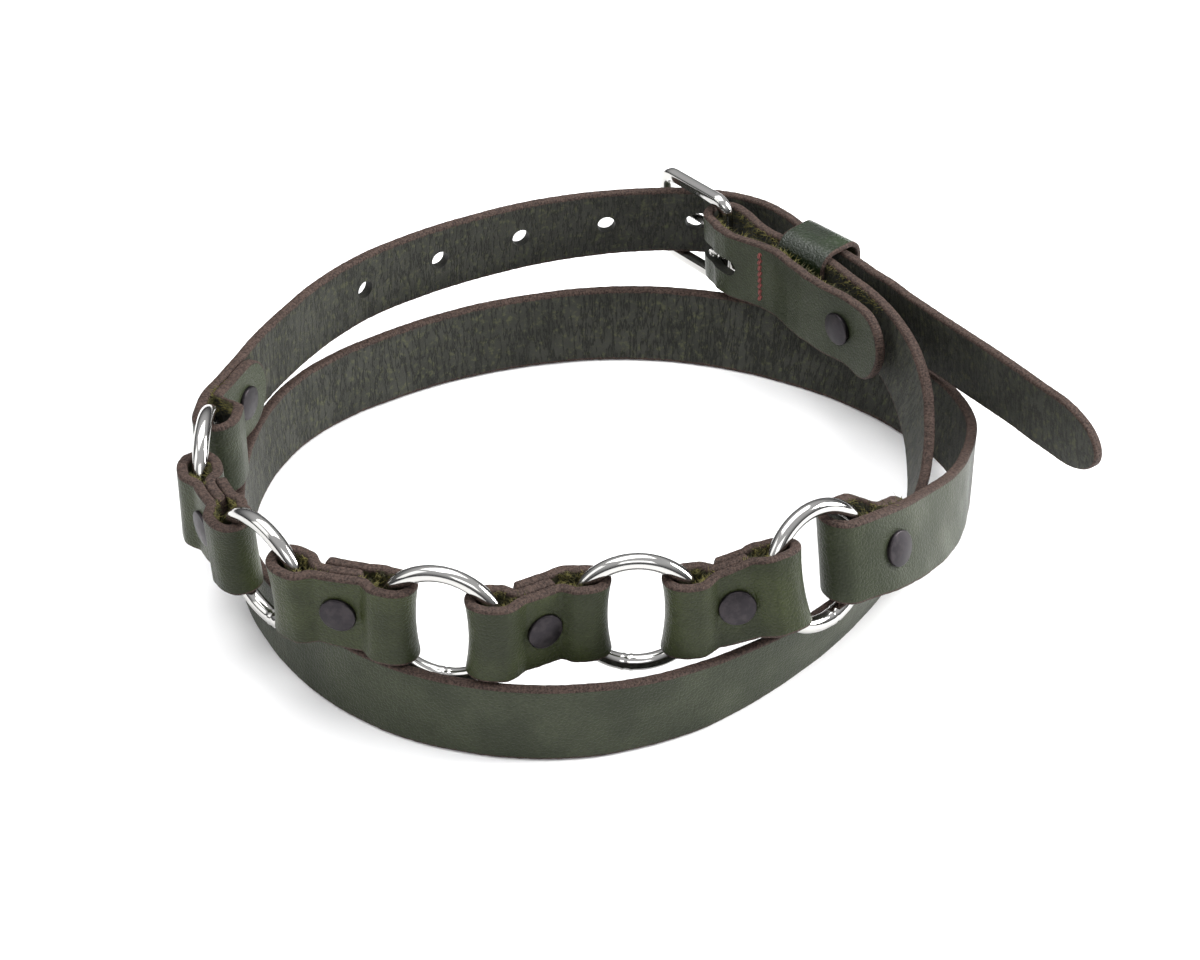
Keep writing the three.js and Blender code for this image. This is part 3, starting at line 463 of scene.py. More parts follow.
def put(name, points, faces, materials, replaced=(), pick=None, edge=None, strip=None,
        cutters=()):
    """Makes one piece from points in millimetres and quads: turned so that its enclosed volume is
    positive, doubled points merged, cut by the cutters, riding on the belt."""
    flat = points.reshape(-1, 3)
    a, b, c, d = (flat[faces[:, k]] for k in range(4))
    volume = np.einsum("ij,ij->", a, np.cross(b, c)) + np.einsum("ij,ij->", a, np.cross(c, d))
    if volume < 0:
        faces = faces[:, ::-1]
    mesh = bpy.data.meshes.new(name)
    mesh.vertices.add(len(flat))
    mesh.vertices.foreach_set("co", ((flat + SHIFT) / 1000).astype(np.float32).ravel())
    mesh.loops.add(faces.size)
    mesh.loops.foreach_set("vertex_index", faces.astype(np.int32).ravel())
    mesh.polygons.add(len(faces))
    mesh.polygons.foreach_set("loop_start", np.arange(0, faces.size, 4, dtype=np.int32))
    for material in materials:
        mesh.materials.append(material)
    if pick is not None:
        mesh.polygons.foreach_set("material_index", pick.astype(np.int32).ravel())
    mesh.update(calc_edges=True)
    if edge is not None:
        values = mesh.attributes.new("edge", "FLOAT", "POINT").data
        values.foreach_set("value", edge.astype(np.float32).ravel())
    if strip is not None:
        layer = mesh.uv_layers.new(name="strip")
        corners = strip.reshape(-1, 2)[faces.ravel()] / 1000
        layer.uv.foreach_set("vector", corners.astype(np.float32).ravel())
    work = bmesh.new()
    work.from_mesh(mesh)
    bmesh.ops.remove_doubles(work, verts=work.verts, dist=2e-6)
    bmesh.ops.dissolve_degenerate(work, dist=1e-7, edges=work.edges)
    work.to_mesh(mesh)
    work.free()
    piece = bpy.data.objects.new(name, mesh)
    bpy.context.scene.collection.objects.link(piece)
    if cutters:
        cut(piece, cutters)
    piece.data.shade_smooth()
    piece.data.set_sharp_from_angle(angle=np.radians(50))
    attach(piece, "root")
    if replaced:
        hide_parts(*replaced)
    return piece


def cut(piece, cutters):
    """Takes each cutter's solid out of the piece and removes the cutters."""
    for cutter in cutters:
        modifier = piece.modifiers.new("hole", "BOOLEAN")
        modifier.object = cutter
        modifier.operation = "DIFFERENCE"
        modifier.solver = "EXACT"
    bpy.context.view_layer.update()
    graph = bpy.context.evaluated_depsgraph_get()
    shown = piece.evaluated_get(graph)
    made = bpy.data.meshes.new_from_object(shown, preserve_all_data_layers=True, depsgraph=graph)
    piece.modifiers.clear()
    made.name = piece.name
    piece.data = made
    for cutter in cutters:
        bpy.data.objects.remove(cutter)


def cutter_of(name, origin, x, y, z, half_long, radius, half_deep, material):
    """A cutter with a stadium outline in the x and y directions: two half circles of a radius, their
    outer ends half_long from the middle, extruded half_deep both ways along z."""
    turn = np.linspace(0, 2 * np.pi, 48, endpoint=False)
    side = np.where(np.cos(turn) >= 0, 1, -1) * max(half_long - radius, 0)
    outline = np.stack([side + radius * np.cos(turn), radius * np.sin(turn)], -1)
    flat = origin + outline[:, :1] * x + outline[:, 1:] * y
    points = np.stack([flat - z * half_deep, flat + z * half_deep]).reshape(-1, 3)
    n = len(turn)
    k = np.arange(n)
    walls = np.stack([k, (k + 1) % n, n + (k + 1) % n, n + k], -1).tolist()
    mesh = bpy.data.meshes.new(name)
    lids = [k[::-1].tolist(), (k + n).tolist()]
    mesh.from_pydata(((points + SHIFT) / 1000).tolist(), [], walls + lids)
    work = bmesh.new()
    work.from_mesh(mesh)
    bmesh.ops.recalc_face_normals(work, faces=work.faces)
    work.to_mesh(mesh)
    work.free()
    mesh.materials.append(material)
    made = bpy.data.objects.new(name, mesh)
    bpy.context.scene.collection.objects.link(made)
    made.hide_render = True
    return made


def grid_faces(rows, around, closed):
    """Quads between neighbouring rows of a grid, whose columns run round a closed section."""
    i = np.arange(rows if closed else rows - 1)[:, None]
    j = np.arange(around)[None, :]
    here, there = i * around, (i + 1) % rows * around
    step = (j + 1) % around
    return np.stack([here + j, here + step, there + step, there + j], -1).reshape(-1, 4)


def section(thickness, radius):
    """A strip's section as shares of the half width, insets from the outline and heights above the
    middle: flat faces with quarter-round corners. Also says which points lie on the outer face."""
    shares = np.array([-1, -0.96, -0.9, -0.8, -0.65, -0.45, -0.22, 0,
                       0.22, 0.45, 0.65, 0.8, 0.9, 0.96, 1])
    turn = np.radians([25, 50, 75, 90])
    inset = radius * (1 - np.sin(turn))
    height = thickness / 2 - radius * (1 - np.cos(turn))
    ones = np.ones(len(turn))
    share = np.concatenate([shares, ones, ones, shares[::-1], -ones, -ones])
    full = np.full(len(shares), radius)
    insets = np.concatenate([full, inset, inset[::-1], full, inset, inset[::-1]])
    face = np.full(len(shares), thickness / 2)
    heights = np.concatenate([face, height, -height[::-1], -face, -height, height[::-1]])
    outer = np.arange(len(share)) < len(shares)
    return share, insets, heights, outer


def uneven(along, across, seed, lengths):
    """Soft unevenness between -1 and 1: the mean of sine waves of the given lengths in millimetres, each
    crossing the strip at a seeded slant and phase."""
    rng = np.random.default_rng(seed)
    total = 0 * along
    for length in lengths:
        slant, phase = rng.uniform(-0.6, 0.6), rng.uniform(0, 2 * np.pi)
        total = total + np.sin(2 * np.pi * (along + slant * across) / length + phase)
    return total / len(lengths)


def leather_strip(name, path, width, thickness, ends, power, materials, replaced,
                  seed=1, relief=0.1, dents=(), closed=False, step=0.8, cutters=()):
    """A leather strip: a section with rounded corners carried along a path. Each end's outline is a
    superellipse of a given length, so the section's insets shrink it evenly to a closed tip. Soft
    unevenness and round dents move the leather along its outward direction."""
    share, inset, height, outer = section(thickness, min(0.75, thickness * 0.3))
    half = width / 2
    total = path.along[-1]
    if closed:
        count = int(total / step)
        along = np.repeat(np.linspace(0, total, count, endpoint=False)[:, None], len(share), 1)
        across = np.repeat((share * (half - inset))[None], count, 0)
    else:
        start, end = ends
        body = np.linspace(start, total - end, int((total - start - end) / step) + 2)
        turn = np.linspace(np.pi / 2, 0, 15)[:, None]
        deep, narrow = np.sin(turn) ** (2 / power), np.cos(turn) ** (2 / power)
        narrow[0] = 0
        first = start - (start - inset) * deep
        last = (total - end + (end - inset) * deep)[::-1]
        middle = np.repeat(body[1:-1, None], len(share), 1)
        along = np.vstack([first, middle, last])
        narrow = np.vstack([narrow, np.ones((len(middle), 1)), narrow[::-1]])
        across = share * (half - inset) * narrow
    at = sample(path, along)
    move = relief * uneven(along, across, seed, (37.0, 23.0, 13.0))
    for centre, depth, size in dents:
        near = np.exp(-((along - centre) ** 2 + across ** 2) / size ** 2)
        move = move - depth * near
    rough = 0.07 * uneven(along, height + 0 * along, seed + 5, (2.3, 3.1, 4.7))
    raw = np.where(inset < inset.max(), 1.0, 0.0)
    across = across + np.sign(across) * rough * raw
    points = at.mid + at.rise * across[..., None] + at.out * (height + move)[..., None]
    points = points + at.bow * ((across / half) ** 2)[..., None]
    from_edge = half - np.abs(across)
    edge = np.where(raw > 0, 1.0, np.clip(1.2 - from_edge / 1.6, 0, 1)) + 0 * along
    faces = grid_faces(len(along), len(share), closed)
    grain = outer & np.roll(outer, -1)
    pick = np.repeat(np.where(grain, 0, 1)[None], len(faces) // len(share), 0)
    strip = np.stack([along, across], -1)
    return put(name, points, faces, materials, replaced, pick, edge, strip, cutters)


def bar(line, across, half_in, half_across, sides, closed, power=2.0, scale=None):
    """A metal bar: a superellipse section, half_in thick in the line's plane and half_across thick
    across it, carried along the line and scaled by scale."""
    if closed:
        run = unit(np.roll(line, -1, 0) - np.roll(line, 1, 0))
    else:
        run = unit(np.gradient(line, axis=0))
    inward = unit(np.cross(across, run))
    turn = np.arange(sides) / sides * 2 * np.pi
    c = np.sign(np.cos(turn)) * np.abs(np.cos(turn)) ** (2 / power)
    s = np.sign(np.sin(turn)) * np.abs(np.sin(turn)) ** (2 / power)
    size = np.ones(len(line)) if scale is None else scale
    around = inward[:, None] * (c * half_in)[None, :, None] + across * (s * half_across)[None, :, None]
    return line[:, None] + around * size[:, None, None]


def rounded_ends(line, reach):
    """Adds a half-round nose of a given reach to both ends of a line, with the section's scale."""
    turn = np.linspace(0, np.pi / 2, 7)[1:, None]
    first = line[0] - unit(line[1] - line[0]) * reach * np.sin(turn)
    last = line[-1] + unit(line[-1] - line[-2]) * reach * np.sin(turn)
    nose = np.cos(turn[:, 0])
    nose[-1] = 0
    scale = np.concatenate([nose[::-1], np.ones(len(line)), nose])
    return np.vstack([first[::-1], line, last]), scale


def rounded_box(x0, x1, y0, y1, corner, count):
    """A rectangle's outline whose corners are quarter circles of count points."""
    turn = np.radians(np.linspace(0, 90, count))
    parts = []
    for x, y, start in ((x1 - corner, y1 - corner, 0), (x0 + corner, y1 - corner, 90),
                        (x0 + corner, y0 + corner, 180), (x1 - corner, y0 + corner, 270)):
        angle = turn + np.radians(start)
        parts.append(np.stack([x + corner * np.cos(angle), y + corner * np.sin(angle)], -1))
    return np.vstack(parts)


def spine_of(left, right, reach):
    """A link's spine: a cubic from one ring's tunnel to the next, leaving each ring halfway between
    the ring's own direction and the straight line between the rings."""
    chord = (right.centre - left.centre) * [1, 1, 0]
    chord = unit(chord)
    start, end = left.centre + left.across * reach, right.centre - right.across * reach
    pull = np.linalg.norm(end - start) * SPINE_PULL
    leave, arrive = unit(left.across + chord) * pull, unit(right.across + chord) * pull
    t = np.linspace(0, 1, 200)[:, None]
    line = start * (1 - t) ** 3 + 3 * (start + leave) * t * (1 - t) ** 2
    line = line + 3 * (end - arrive) * t ** 2 * (1 - t) + end * t ** 3
    rise = unit(left.up + (right.up - left.up) * smooth(t))
    run = unit(np.gradient(line, axis=0))
    return path_of(line, -np.cross(rise, run), rise, np.zeros_like(line))


def link_path(spine, bow):
    """A link's leather strip in the spine's own along and outward directions: along the back, round one
    tunnel, along the front, round the other tunnel and back to a lap under its start."""
    length = spine.along[-1]
    radius = TUNNEL_RADIUS + LEATHER / 2
    lap_start, lap_end = length * (0.5 + LINK_LAP), length * (0.5 - LINK_LAP)

    def layer(u):
        closing = smooth((np.minimum(u, length - u) - LINK_OPEN) / LINK_CLOSE)
        return TUNNEL_RADIUS + (LAYER_GAP / 2 - TUNNEL_RADIUS) * closing + LEATHER / 2

    turn = np.linspace(0, np.pi, 26)[1:-1]
    back = np.linspace(lap_end, length, 30)
    under = smooth((lap_start + LAP_EASE_START - back) / LAP_EASE)
    lower = -layer(back) - (LEATHER + LAYER_GAP) * under
    front = np.linspace(length, 0, 50)
    last = np.linspace(0, lap_start, 25)
    u = np.concatenate([back, length + radius * np.sin(turn), front, -radius * np.sin(turn), last])
    round_tunnel = radius * np.cos(turn)
    n = np.concatenate([lower, -round_tunnel, layer(front), round_tunnel, -layer(last)])
    at = sample(spine, np.clip(u, 0, length))
    past = u - np.clip(u, 0, length)
    mid = at.mid + at.run * past[:, None] + at.out * n[:, None]
    du, dn = np.gradient(u), np.gradient(n)
    out = unit(at.run * dn[:, None] - at.out * du[:, None])
    return path_of(mid, out, at.rise, at.run * (bow * np.clip(past / TUNNEL_RADIUS, -1, 1))[:, None])


def turned_cap(name, at, near, far, cap, material, replaced):
    """A rivet turned about its own axis: a low cap with a rounded shoulder and a slight dome at each end
    of a post. near and far are the heights of the leather's outer and inner faces."""
    half, post = cap / 2, RIVET_POST / 2
    shoulder = np.linspace(0, np.pi / 2, 7)
    rim = half - 0.42 + 0.42 * np.sin(shoulder)
    tall = 0.62 + 0.4 * np.cos(shoulder)
    dome = np.linspace(0, 1, 8)[:-1]
    radius = np.concatenate([dome * (half - 0.42), rim, [half * 0.985, post]])
    height = np.concatenate([1.5 - 0.48 * dome ** 2, tall, [-0.12, -0.12]])
    r = np.concatenate([radius, radius[::-1]])
    h = np.concatenate([near + height, far - height[::-1]])
    turn = np.arange(48) / 48 * 2 * np.pi
    side = np.cross(at.run, at.out)
    round_way = at.run * np.cos(turn)[:, None] + side * np.sin(turn)[:, None]
    points = at.mid + round_way * r[:, None, None] + at.out * h[:, None, None]
    return put(name, points, grid_faces(len(r), 48, False), [material], [replaced])


def long_strap_path():
    """The long strap with its folds round the buckle's heel bar and the fifth ring."""
    radius = STRAP_TUNNEL + LEATHER / 2
    path = folded(long_route, radius, 0.0, RING_5_FOLD_LENGTH, ring_fold_apart(RING_5_OPEN))
    path = folded(backwards(path), BUCKLE_FOLD[0, 1] / 2, 0.0, BUCKLE_FOLD_LENGTH, buckle_fold_apart)
    return backwards(path)


def tail_strap_path(bow):
    """The tail strap with its fold round the first ring."""
    radius = STRAP_TUNNEL + LEATHER / 2
    path = folded(backwards(tail_route), radius, bow, RING_1_FOLD_LENGTH, ring_fold_apart(RING_1_OPEN))
    return backwards(path)


def nearest(path, spot, outward=None):
    """Distance along the path to the point nearest to a spot, among those facing outward if given."""
    gap = np.linalg.norm(path.mid - spot, axis=1)
    if outward is not None:
        gap = gap + 1e3 * (path.out @ outward < 0)
    return path.along[np.argmin(gap)]


class BeltSizes(bpy.types.PropertyGroup):
    """Sizes of what is added to the solids."""

    leather: bpy.props.FloatProperty(
        name="Leather thickness", description="Thickness of the strap leather as it shows",
        default=0.00272, unit="LENGTH")
    rivet_cap: bpy.props.FloatProperty(
        name="Rivet cap", description="Diameter of the rivets' caps", default=0.009, unit="LENGTH")
    link_reach: bpy.props.FloatProperty(
        name="Link reach", description="Distance of a link's tunnel from the ring's middle",
        default=0.0121, unit="LENGTH")
    link_bow: bpy.props.FloatProperty(
        name="Link bow", description="How far a link's fold curves back at its top and bottom",
        default=0.001, unit="LENGTH")
    stitch_pitch: bpy.props.FloatProperty(
        name="Stitch pitch", description="Distance between stitches", default=0.00195, unit="LENGTH")
    thread: bpy.props.FloatProperty(
        name="Thread", description="Thickness of the thread", default=0.0011, unit="LENGTH")
    fibres: bpy.props.IntProperty(
        name="Fibres", description="Loose fibres in each gap", default=150, min=0)


def colour_property(name, description, colour):
    """A colour setting whose default is an sRGB hex value."""
    return bpy.props.FloatVectorProperty(name=name, description=description, subtype="COLOR",
                                         min=0, max=1, size=3, default=linear(colour)[:3])


class BeltColours(bpy.types.PropertyGroup):
    """Colours of the belt's finishes."""

    strap_dark: colour_property("Strap green, dark", "Grain side of the straps", 0x282D1E)
    strap_light: colour_property("Strap green, light", "Where the oil has moved", 0x353A29)
    link_dark: colour_property("Link green, dark", "Grain side of the links", 0x242916)
    link_light: colour_property("Link green, light", "Where the oil has moved", 0x31371C)
    keeper_dark: colour_property("Keeper green, dark", "Glazed side of the keeper", 0x121C0A)
    keeper_light: colour_property("Keeper green, light", "Lit side of the glaze", 0x1F2E12)
    flesh: colour_property("Flesh side", "Dyed flesh side", 0x2B2C26)
    fleck: colour_property("Flecks", "Olive flecks of the flesh side", 0x505236)
    crease: colour_property("Rubbed flesh", "Paler patches of the flesh side", 0x45453F)
    edge_dark: colour_property("Cut edge, dark", "Raw edge of the leather", 0x251B17)
    edge_light: colour_property("Cut edge, light", "Raised fibres of the edge", 0x4C3D36)
    fibre_dark: colour_property("Fibres, dark", "Loose olive fibres", 0x2E2D15)
    fibre_light: colour_property("Fibres, light", "Loose golden fibres", 0x6E6837)
    nickel: colour_property("Nickel", "Rings and buckle", 0xB4B3B0)
    gunmetal_dark: colour_property("Gunmetal, dark", "Rivet caps", 0x2A272A)
    gunmetal_light: colour_property("Gunmetal, light", "Worn places of the caps", 0x383436)
    # Painted shade: the darker thread colour stands for shade in the grooves between the thread's plies.
    thread_groove_shade: colour_property("Thread, dark", "Between the thread's plies", 0x4A1E1A)
    thread_light: colour_property("Thread, light", "The thread", 0x8A4640)
    floor: colour_property("Floor", "Paper floor", 0xFFFFFF)


def once(make, name, *settings):
    """The material of that name, made at its first use."""
    return bpy.data.materials.get(name) or make(name, *settings)


def strap_finish(colours):
    """The straps' two leather finishes."""
    grain = opaque(colours.strap_dark), opaque(colours.strap_light), 0.42
    flesh = (opaque(colours.flesh), opaque(colours.fleck), opaque(colours.edge_dark),
             opaque(colours.edge_light), opaque(colours.crease))
    return [once(oiled_grain, "oiled_grain_strap", *grain),
            once(waxed_flesh, "waxed_flesh_strap", *flesh)]


def link_finish(colours):
    """The links' two leather finishes."""
    grain = opaque(colours.link_dark), opaque(colours.link_light), 0.4
    flesh = (opaque(colours.fibre_dark), opaque(colours.fibre_light), opaque(colours.edge_dark),
             opaque(colours.edge_light), opaque(colours.crease))
    return [once(oiled_grain, "oiled_grain_link", *grain),
            once(waxed_flesh, "waxed_flesh_link", *flesh)]


def nickel_finish(colours):
    """The rings' and the buckle's plate."""
    return once(polished_metal, "polished_nickel", opaque(colours.nickel), 0.07, 0.06)


class BELT_OT_long_strap(bpy.types.Operator):
    """Makes the long strap from the buckle to the fifth ring."""

    bl_idname = "belt.long_strap"
    bl_label = "Long strap"

    def execute(self, context):
        sizes, colours = context.scene.belt_sizes, context.scene.belt_colours
        path = long_strap_path()
        materials = strap_finish(colours)
        slot = cutter_of("slot", buckle.heel, buckle.along, buckle.up, buckle.face,
                         SLOT_LENGTH / 2, SLOT_HIGH / 2, STRAP_WIDTH / 2, materials[1])
        dents = []
        for angle in (RING_5_RIVET_ANGLE, BUCKLE_RIVET_ANGLE):
            at = frame_at(long_route, long_angle, angle)
            dents.append((nearest(path, at.mid), 0.35, 5.0))
        leather_strip("long_strap_leather", path, STRAP_WIDTH, sizes.leather * 1000,
                      (STRAP_WIDTH / 2, STRAP_WIDTH / 2), 2.0, materials,
                      ["long_strap"], seed=3, relief=0.09, dents=dents, step=0.9, cutters=[slot])
        return {"FINISHED"}


class BELT_OT_tail_strap(bpy.types.Operator):
    """Makes the tail strap with its punched holes and tip."""

    bl_idname = "belt.tail_strap"
    bl_label = "Tail strap"

    def execute(self, context):
        sizes, colours = context.scene.belt_sizes, context.scene.belt_colours
        path = tail_strap_path(1.0)
        materials = strap_finish(colours)
        first = np.interp(-PRONG_HOLE_ANGLE, -tail_angle, tail_route.along)
        cutters = []
        for k in range(PUNCH_HOLES):
            at = sample(tail_route, first - k * HOLE_PITCH)
            side = np.cross(at.run, at.out)
            cutters.append(cutter_of(f"punch_{k + 1}", at.mid, at.run, side, at.out,
                                     0.0, PUNCH_HOLE / 2, 4.0, materials[1]))
        seat = FRAME_WIRE / 2 + SEAT_GAP + PRONG_THICKNESS / 2
        room = buckle.heel + buckle.along * FRAME_LENGTH * 0.7 + buckle.face * seat
        cutters.append(cutter_of("prong_room", room, buckle.along, buckle.up, buckle.face,
                                 PRONG_ROOM / 2, PUNCH_HOLE / 2, (PRONG_THICKNESS + 1) / 2, materials[1]))
        at = frame_at(tail_route, tail_angle, RING_1_RIVET_ANGLE)
        dents = [(nearest(path, at.mid), 0.3, 5.0)]
        leather_strip("tail_strap_leather", path, STRAP_WIDTH, sizes.leather * 1000,
                      (STRAP_WIDTH / 2, TIP_LENGTH), 2.0, materials,
                      ["tail_strap"], seed=7, relief=0.08, dents=dents, step=0.8, cutters=cutters)
        return {"FINISHED"}


class BELT_OT_links(bpy.types.Operator):
    """Makes the four leather links between the rings."""

    bl_idname = "belt.links"
    bl_label = "Ring links"

    def execute(self, context):
        sizes = context.scene.belt_sizes
        materials = link_finish(context.scene.belt_colours)
        for k in range(4):
            spine = spine_of(rings[k], rings[k + 1], sizes.link_reach * 1000)
            path = link_path(spine, sizes.link_bow * 1000)
            middle = sample(spine, spine.along[-1] / 2)
            front = nearest(path, middle.mid + middle.out * 2, middle.out)
            leather_strip(f"ring_link_{k + 1}_leather", path, STRAP_WIDTH, sizes.leather * 1000,
                          (2.0, 2.0), 5.0, materials, [f"ring_link_{k + 1}"],
                          seed=20 + k, relief=0.12, dents=[(front, 0.3, 5.0)], step=0.5)
        return {"FINISHED"}


class BELT_OT_rings(bpy.types.Operator):
    """Makes the five wire rings with their weld marks."""

    bl_idname = "belt.rings"
    bl_label = "Rings"

    def execute(self, context):
        nickel = nickel_finish(context.scene.belt_colours)
        turn = np.linspace(0, 2 * np.pi, 144, endpoint=False)
        for k, ring in enumerate(rings):
            line = ring.centre + RING_RADIUS * (np.cos(turn)[:, None] * ring.across
                                                + np.sin(turn)[:, None] * ring.up)
            weld = np.radians((-96, -84, -88, -99, -80)[k])
            away = np.degrees(np.angle(np.exp(1j * (turn - weld))))
            ridge = np.exp(-((np.abs(away) - 3.4) / 1.5) ** 2)
            scale = 1 + 0.085 * ridge - 0.05 * np.exp(-(away / 1.6) ** 2)
            points = bar(line, ring.face, RING_WIRE / 2, RING_WIRE / 2, 28, True, scale=scale)
            put(f"ring_{k + 1}_wire", points, grid_faces(len(turn), 28, True), [nickel],
                [f"ring_{k + 1}"])
        return {"FINISHED"}


class BELT_OT_rivets(bpy.types.Operator):
    """Makes the seven rivets, seated on the leather."""

    bl_idname = "belt.rivets"
    bl_label = "Rivets"

    def execute(self, context):
        sizes, colours = context.scene.belt_sizes, context.scene.belt_colours
        greys = opaque(colours.gunmetal_dark), opaque(colours.gunmetal_light)
        plate = gunmetal_plate("gunmetal_plate", *greys)
        leather, cap = sizes.leather * 1000, sizes.rivet_cap * 1000
        layer = (LEATHER + LAYER_GAP) / 2
        for k in range(4):
            spine = spine_of(rings[k], rings[k + 1], sizes.link_reach * 1000)
            at = sample(spine, spine.along[-1] / 2)
            near, far = layer + leather / 2 - 0.25, -3 * layer - leather / 2
            turned_cap(f"rivet_{k + 1}_caps", at, near, far, cap, plate, f"rivet_{k + 1}")
        apart = ring_fold_apart(RING_5_OPEN)
        back = long_route.along[-1] - np.interp(-RING_5_RIVET_ANGLE, -long_angle, long_route.along)
        self.strap_rivet(5, long_route, long_angle, RING_5_RIVET_ANGLE, apart(back),
                         leather, cap, plate)
        apart = ring_fold_apart(RING_1_OPEN)
        back = np.interp(-RING_1_RIVET_ANGLE, -tail_angle, tail_route.along)
        self.strap_rivet(6, tail_route, tail_angle, RING_1_RIVET_ANGLE, apart(back),
                         leather, cap, plate)
        back = np.interp(-BUCKLE_RIVET_ANGLE, -long_angle, long_route.along)
        self.strap_rivet(7, long_route, long_angle, BUCKLE_RIVET_ANGLE, buckle_fold_apart(back),
                         leather, cap, plate)
        return {"FINISHED"}

    def strap_rivet(self, number, path, angles, angle, apart, leather, cap, plate):
        """One rivet through a strap and the layer folded under it."""
        at = frame_at(path, angles, angle)
        level = sample(path, np.interp(-angle, -angles, path.along)).out
        square = float(at.out @ unit(level))
        near = leather / 2 * square - 0.28
        far = -(apart + leather / 2) * square + 0.05
        turned_cap(f"rivet_{number}_caps", at, near, far, cap, plate, f"rivet_{number}")


class BELT_OT_buckle(bpy.types.Operator):
    """Makes the buckle's frame and its prong."""

    bl_idname = "belt.buckle"
    bl_label = "Buckle"

    def execute(self, context):
        nickel = nickel_finish(context.scene.belt_colours)
        half = (FRAME_OPENING + FRAME_WIRE) / 2
        corners = rounded_box(0, FRAME_LENGTH, -half, half, FRAME_CORNER, 11)
        following = np.roll(corners, -1, 0)
        gap = np.linalg.norm(following - corners, axis=1)
        pieces = []
        for here, there, far in zip(corners, following, gap):
            steps = np.linspace(0, 1, max(int(far / 0.6), 1), endpoint=False)[:, None]
            pieces.append(here + (there - here) * steps)
        flat = np.vstack(pieces)
        line = buckle.heel + flat[:, :1] * buckle.along + flat[:, 1:] * buckle.up
        points = bar(line, buckle.face, FRAME_WIRE / 2, FRAME_WIRE / 2 - 0.1, 28, True, power=2.7)
        put("buckle_frame_wire", points, grid_faces(len(line), 28, True), [nickel],
            ["buckle_frame"])
        seat = FRAME_WIRE / 2 + SEAT_GAP + PRONG_THICKNESS / 2
        straight = np.linspace(FRAME_LENGTH + FRAME_WIRE * 0.7, 0, 40)
        round_way = np.linspace(0, 230, 60)[1:]
        hook = np.radians(90 + round_way)
        reach = seat + LOOP_GROWTH * smooth(round_way / 90)
        x = np.concatenate([straight, reach * np.cos(hook)])
        y = np.concatenate([np.full(40, seat), reach * np.sin(hook)])
        line = buckle.heel + x[:, None] * buckle.along + y[:, None] * buckle.face
        line, scale = rounded_ends(line, 0.9)
        points = bar(line, buckle.up, PRONG_THICKNESS / 2, PRONG_WIDTH * 0.35, 24, False, scale=scale)
        # A known fault: each ring of this bar has 24 points, and its faces are built for 20.
        put("buckle_prong_bar", points, grid_faces(len(line), 20, False), [nickel],
            ["buckle_prong"])
        return {"FINISHED"}


class BELT_OT_keeper(bpy.types.Operator):
    """Makes the leather loop that holds the tail on the strap."""

    bl_idname = "belt.keeper"
    bl_label = "Keeper"

    def execute(self, context):
        colours = context.scene.belt_colours
        at = sample(long_route, KEEPER_BACK)
        axis, out = unit(at.run), unit(at.out)
        up = np.cross(axis, out)
        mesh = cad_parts["keeper"].data
        co = np.zeros(len(mesh.vertices) * 3, np.float32)
        mesh.vertices.foreach_get("co", co)
        local = co.reshape(-1, 3) * 1000.0 - SHIFT - at.mid
        wall = KEEPER_WALL
        x0, x1 = (local @ out).min() + wall / 2, (local @ out).max() - wall / 2
        y0, y1 = (local @ up).min() + wall / 2, (local @ up).max() - wall / 2
        flat = rounded_box(x0, x1, y0, y1, KEEPER_CORNER, 12)
        flat = np.vstack([flat, flat[:1]])
        steps = np.concatenate([[0], np.cumsum(np.linalg.norm(np.diff(flat, axis=0), axis=1))])
        even = np.linspace(0, steps[-1], 161)
        flat = np.stack([np.interp(even, steps, flat[:, k]) for k in (0, 1)], -1)
        ahead = np.roll(flat[:-1], -1, 0) - np.roll(flat[:-1], 1, 0)
        ahead = np.vstack([ahead, ahead[:1]])
        outward = unit(ahead[:, 1:] * out - ahead[:, :1] * up)
        mid = at.mid + flat[:, :1] * out + flat[:, 1:] * up
        path = path_of(mid, outward, np.tile(axis, (len(mid), 1)), np.zeros_like(mid))
        grain = oiled_grain("glazed_grain_keeper", opaque(colours.keeper_dark),
                            opaque(colours.keeper_light), 0.24, 0.5)
        leather_strip("keeper_leather", path, KEEPER_WIDTH, wall, None, 2.0,
                      [grain, link_finish(colours)[1]], ["keeper"],
                      seed=41, relief=0.06, closed=True, step=0.45)
        return {"FINISHED"}


class BELT_OT_stitches(bpy.types.Operator):
    """Makes the row of stitches across the buckle's fold."""

    bl_idname = "belt.stitches"
    bl_label = "Stitches"

    def execute(self, context):
        sizes, colours = context.scene.belt_sizes, context.scene.belt_colours
        pitch, thick = sizes.stitch_pitch * 1000, sizes.thread * 1000
        thread = twisted_thread("waxed_linen_thread", opaque(colours.thread_groove_shade),
                                opaque(colours.thread_light))
        at = sample(long_route, STITCH_BACK)
        inner = at.mid - at.out * (buckle_fold_apart(STITCH_BACK) + sizes.leather * 500)
        outer = at.mid + at.out * sizes.leather * 500
        grids, faces, strips, first = [], [], [], 0
        for face, way in ((inner, -at.out), (outer, at.out)):
            for k in range(8):
                middle = face + at.rise * (7.0 - k * pitch)
                lean = unit(at.rise * 0.86 + at.run * (0.5 if k % 2 else 0.25))
                t = np.linspace(-1, 1, 11)[:, None]
                lift = 0.24 * (1 - t ** 4) - 0.22
                line = middle + lean * t * pitch * 0.46 + way * lift * thick / 0.9
                line, scale = rounded_ends(line, thick * 0.3)
                points = bar(line, way, thick / 2, thick / 2, 10, False, scale=scale)
                grids.append(points.reshape(-1, 3))
                faces.append(grid_faces(len(line), 10, False) + first)
                far = np.repeat(np.linspace(0, pitch, len(line))[:, None], 10, 1)
                round_way = np.repeat(np.linspace(0, thick * 3, 10)[None], len(line), 0)
                strips.append(np.stack([far, round_way], -1).reshape(-1, 2))
                first += points.shape[0] * points.shape[1]
        put("buckle_stitches", np.vstack(grids), np.vstack(faces), [thread],
            strip=np.vstack(strips))
        return {"FINISHED"}


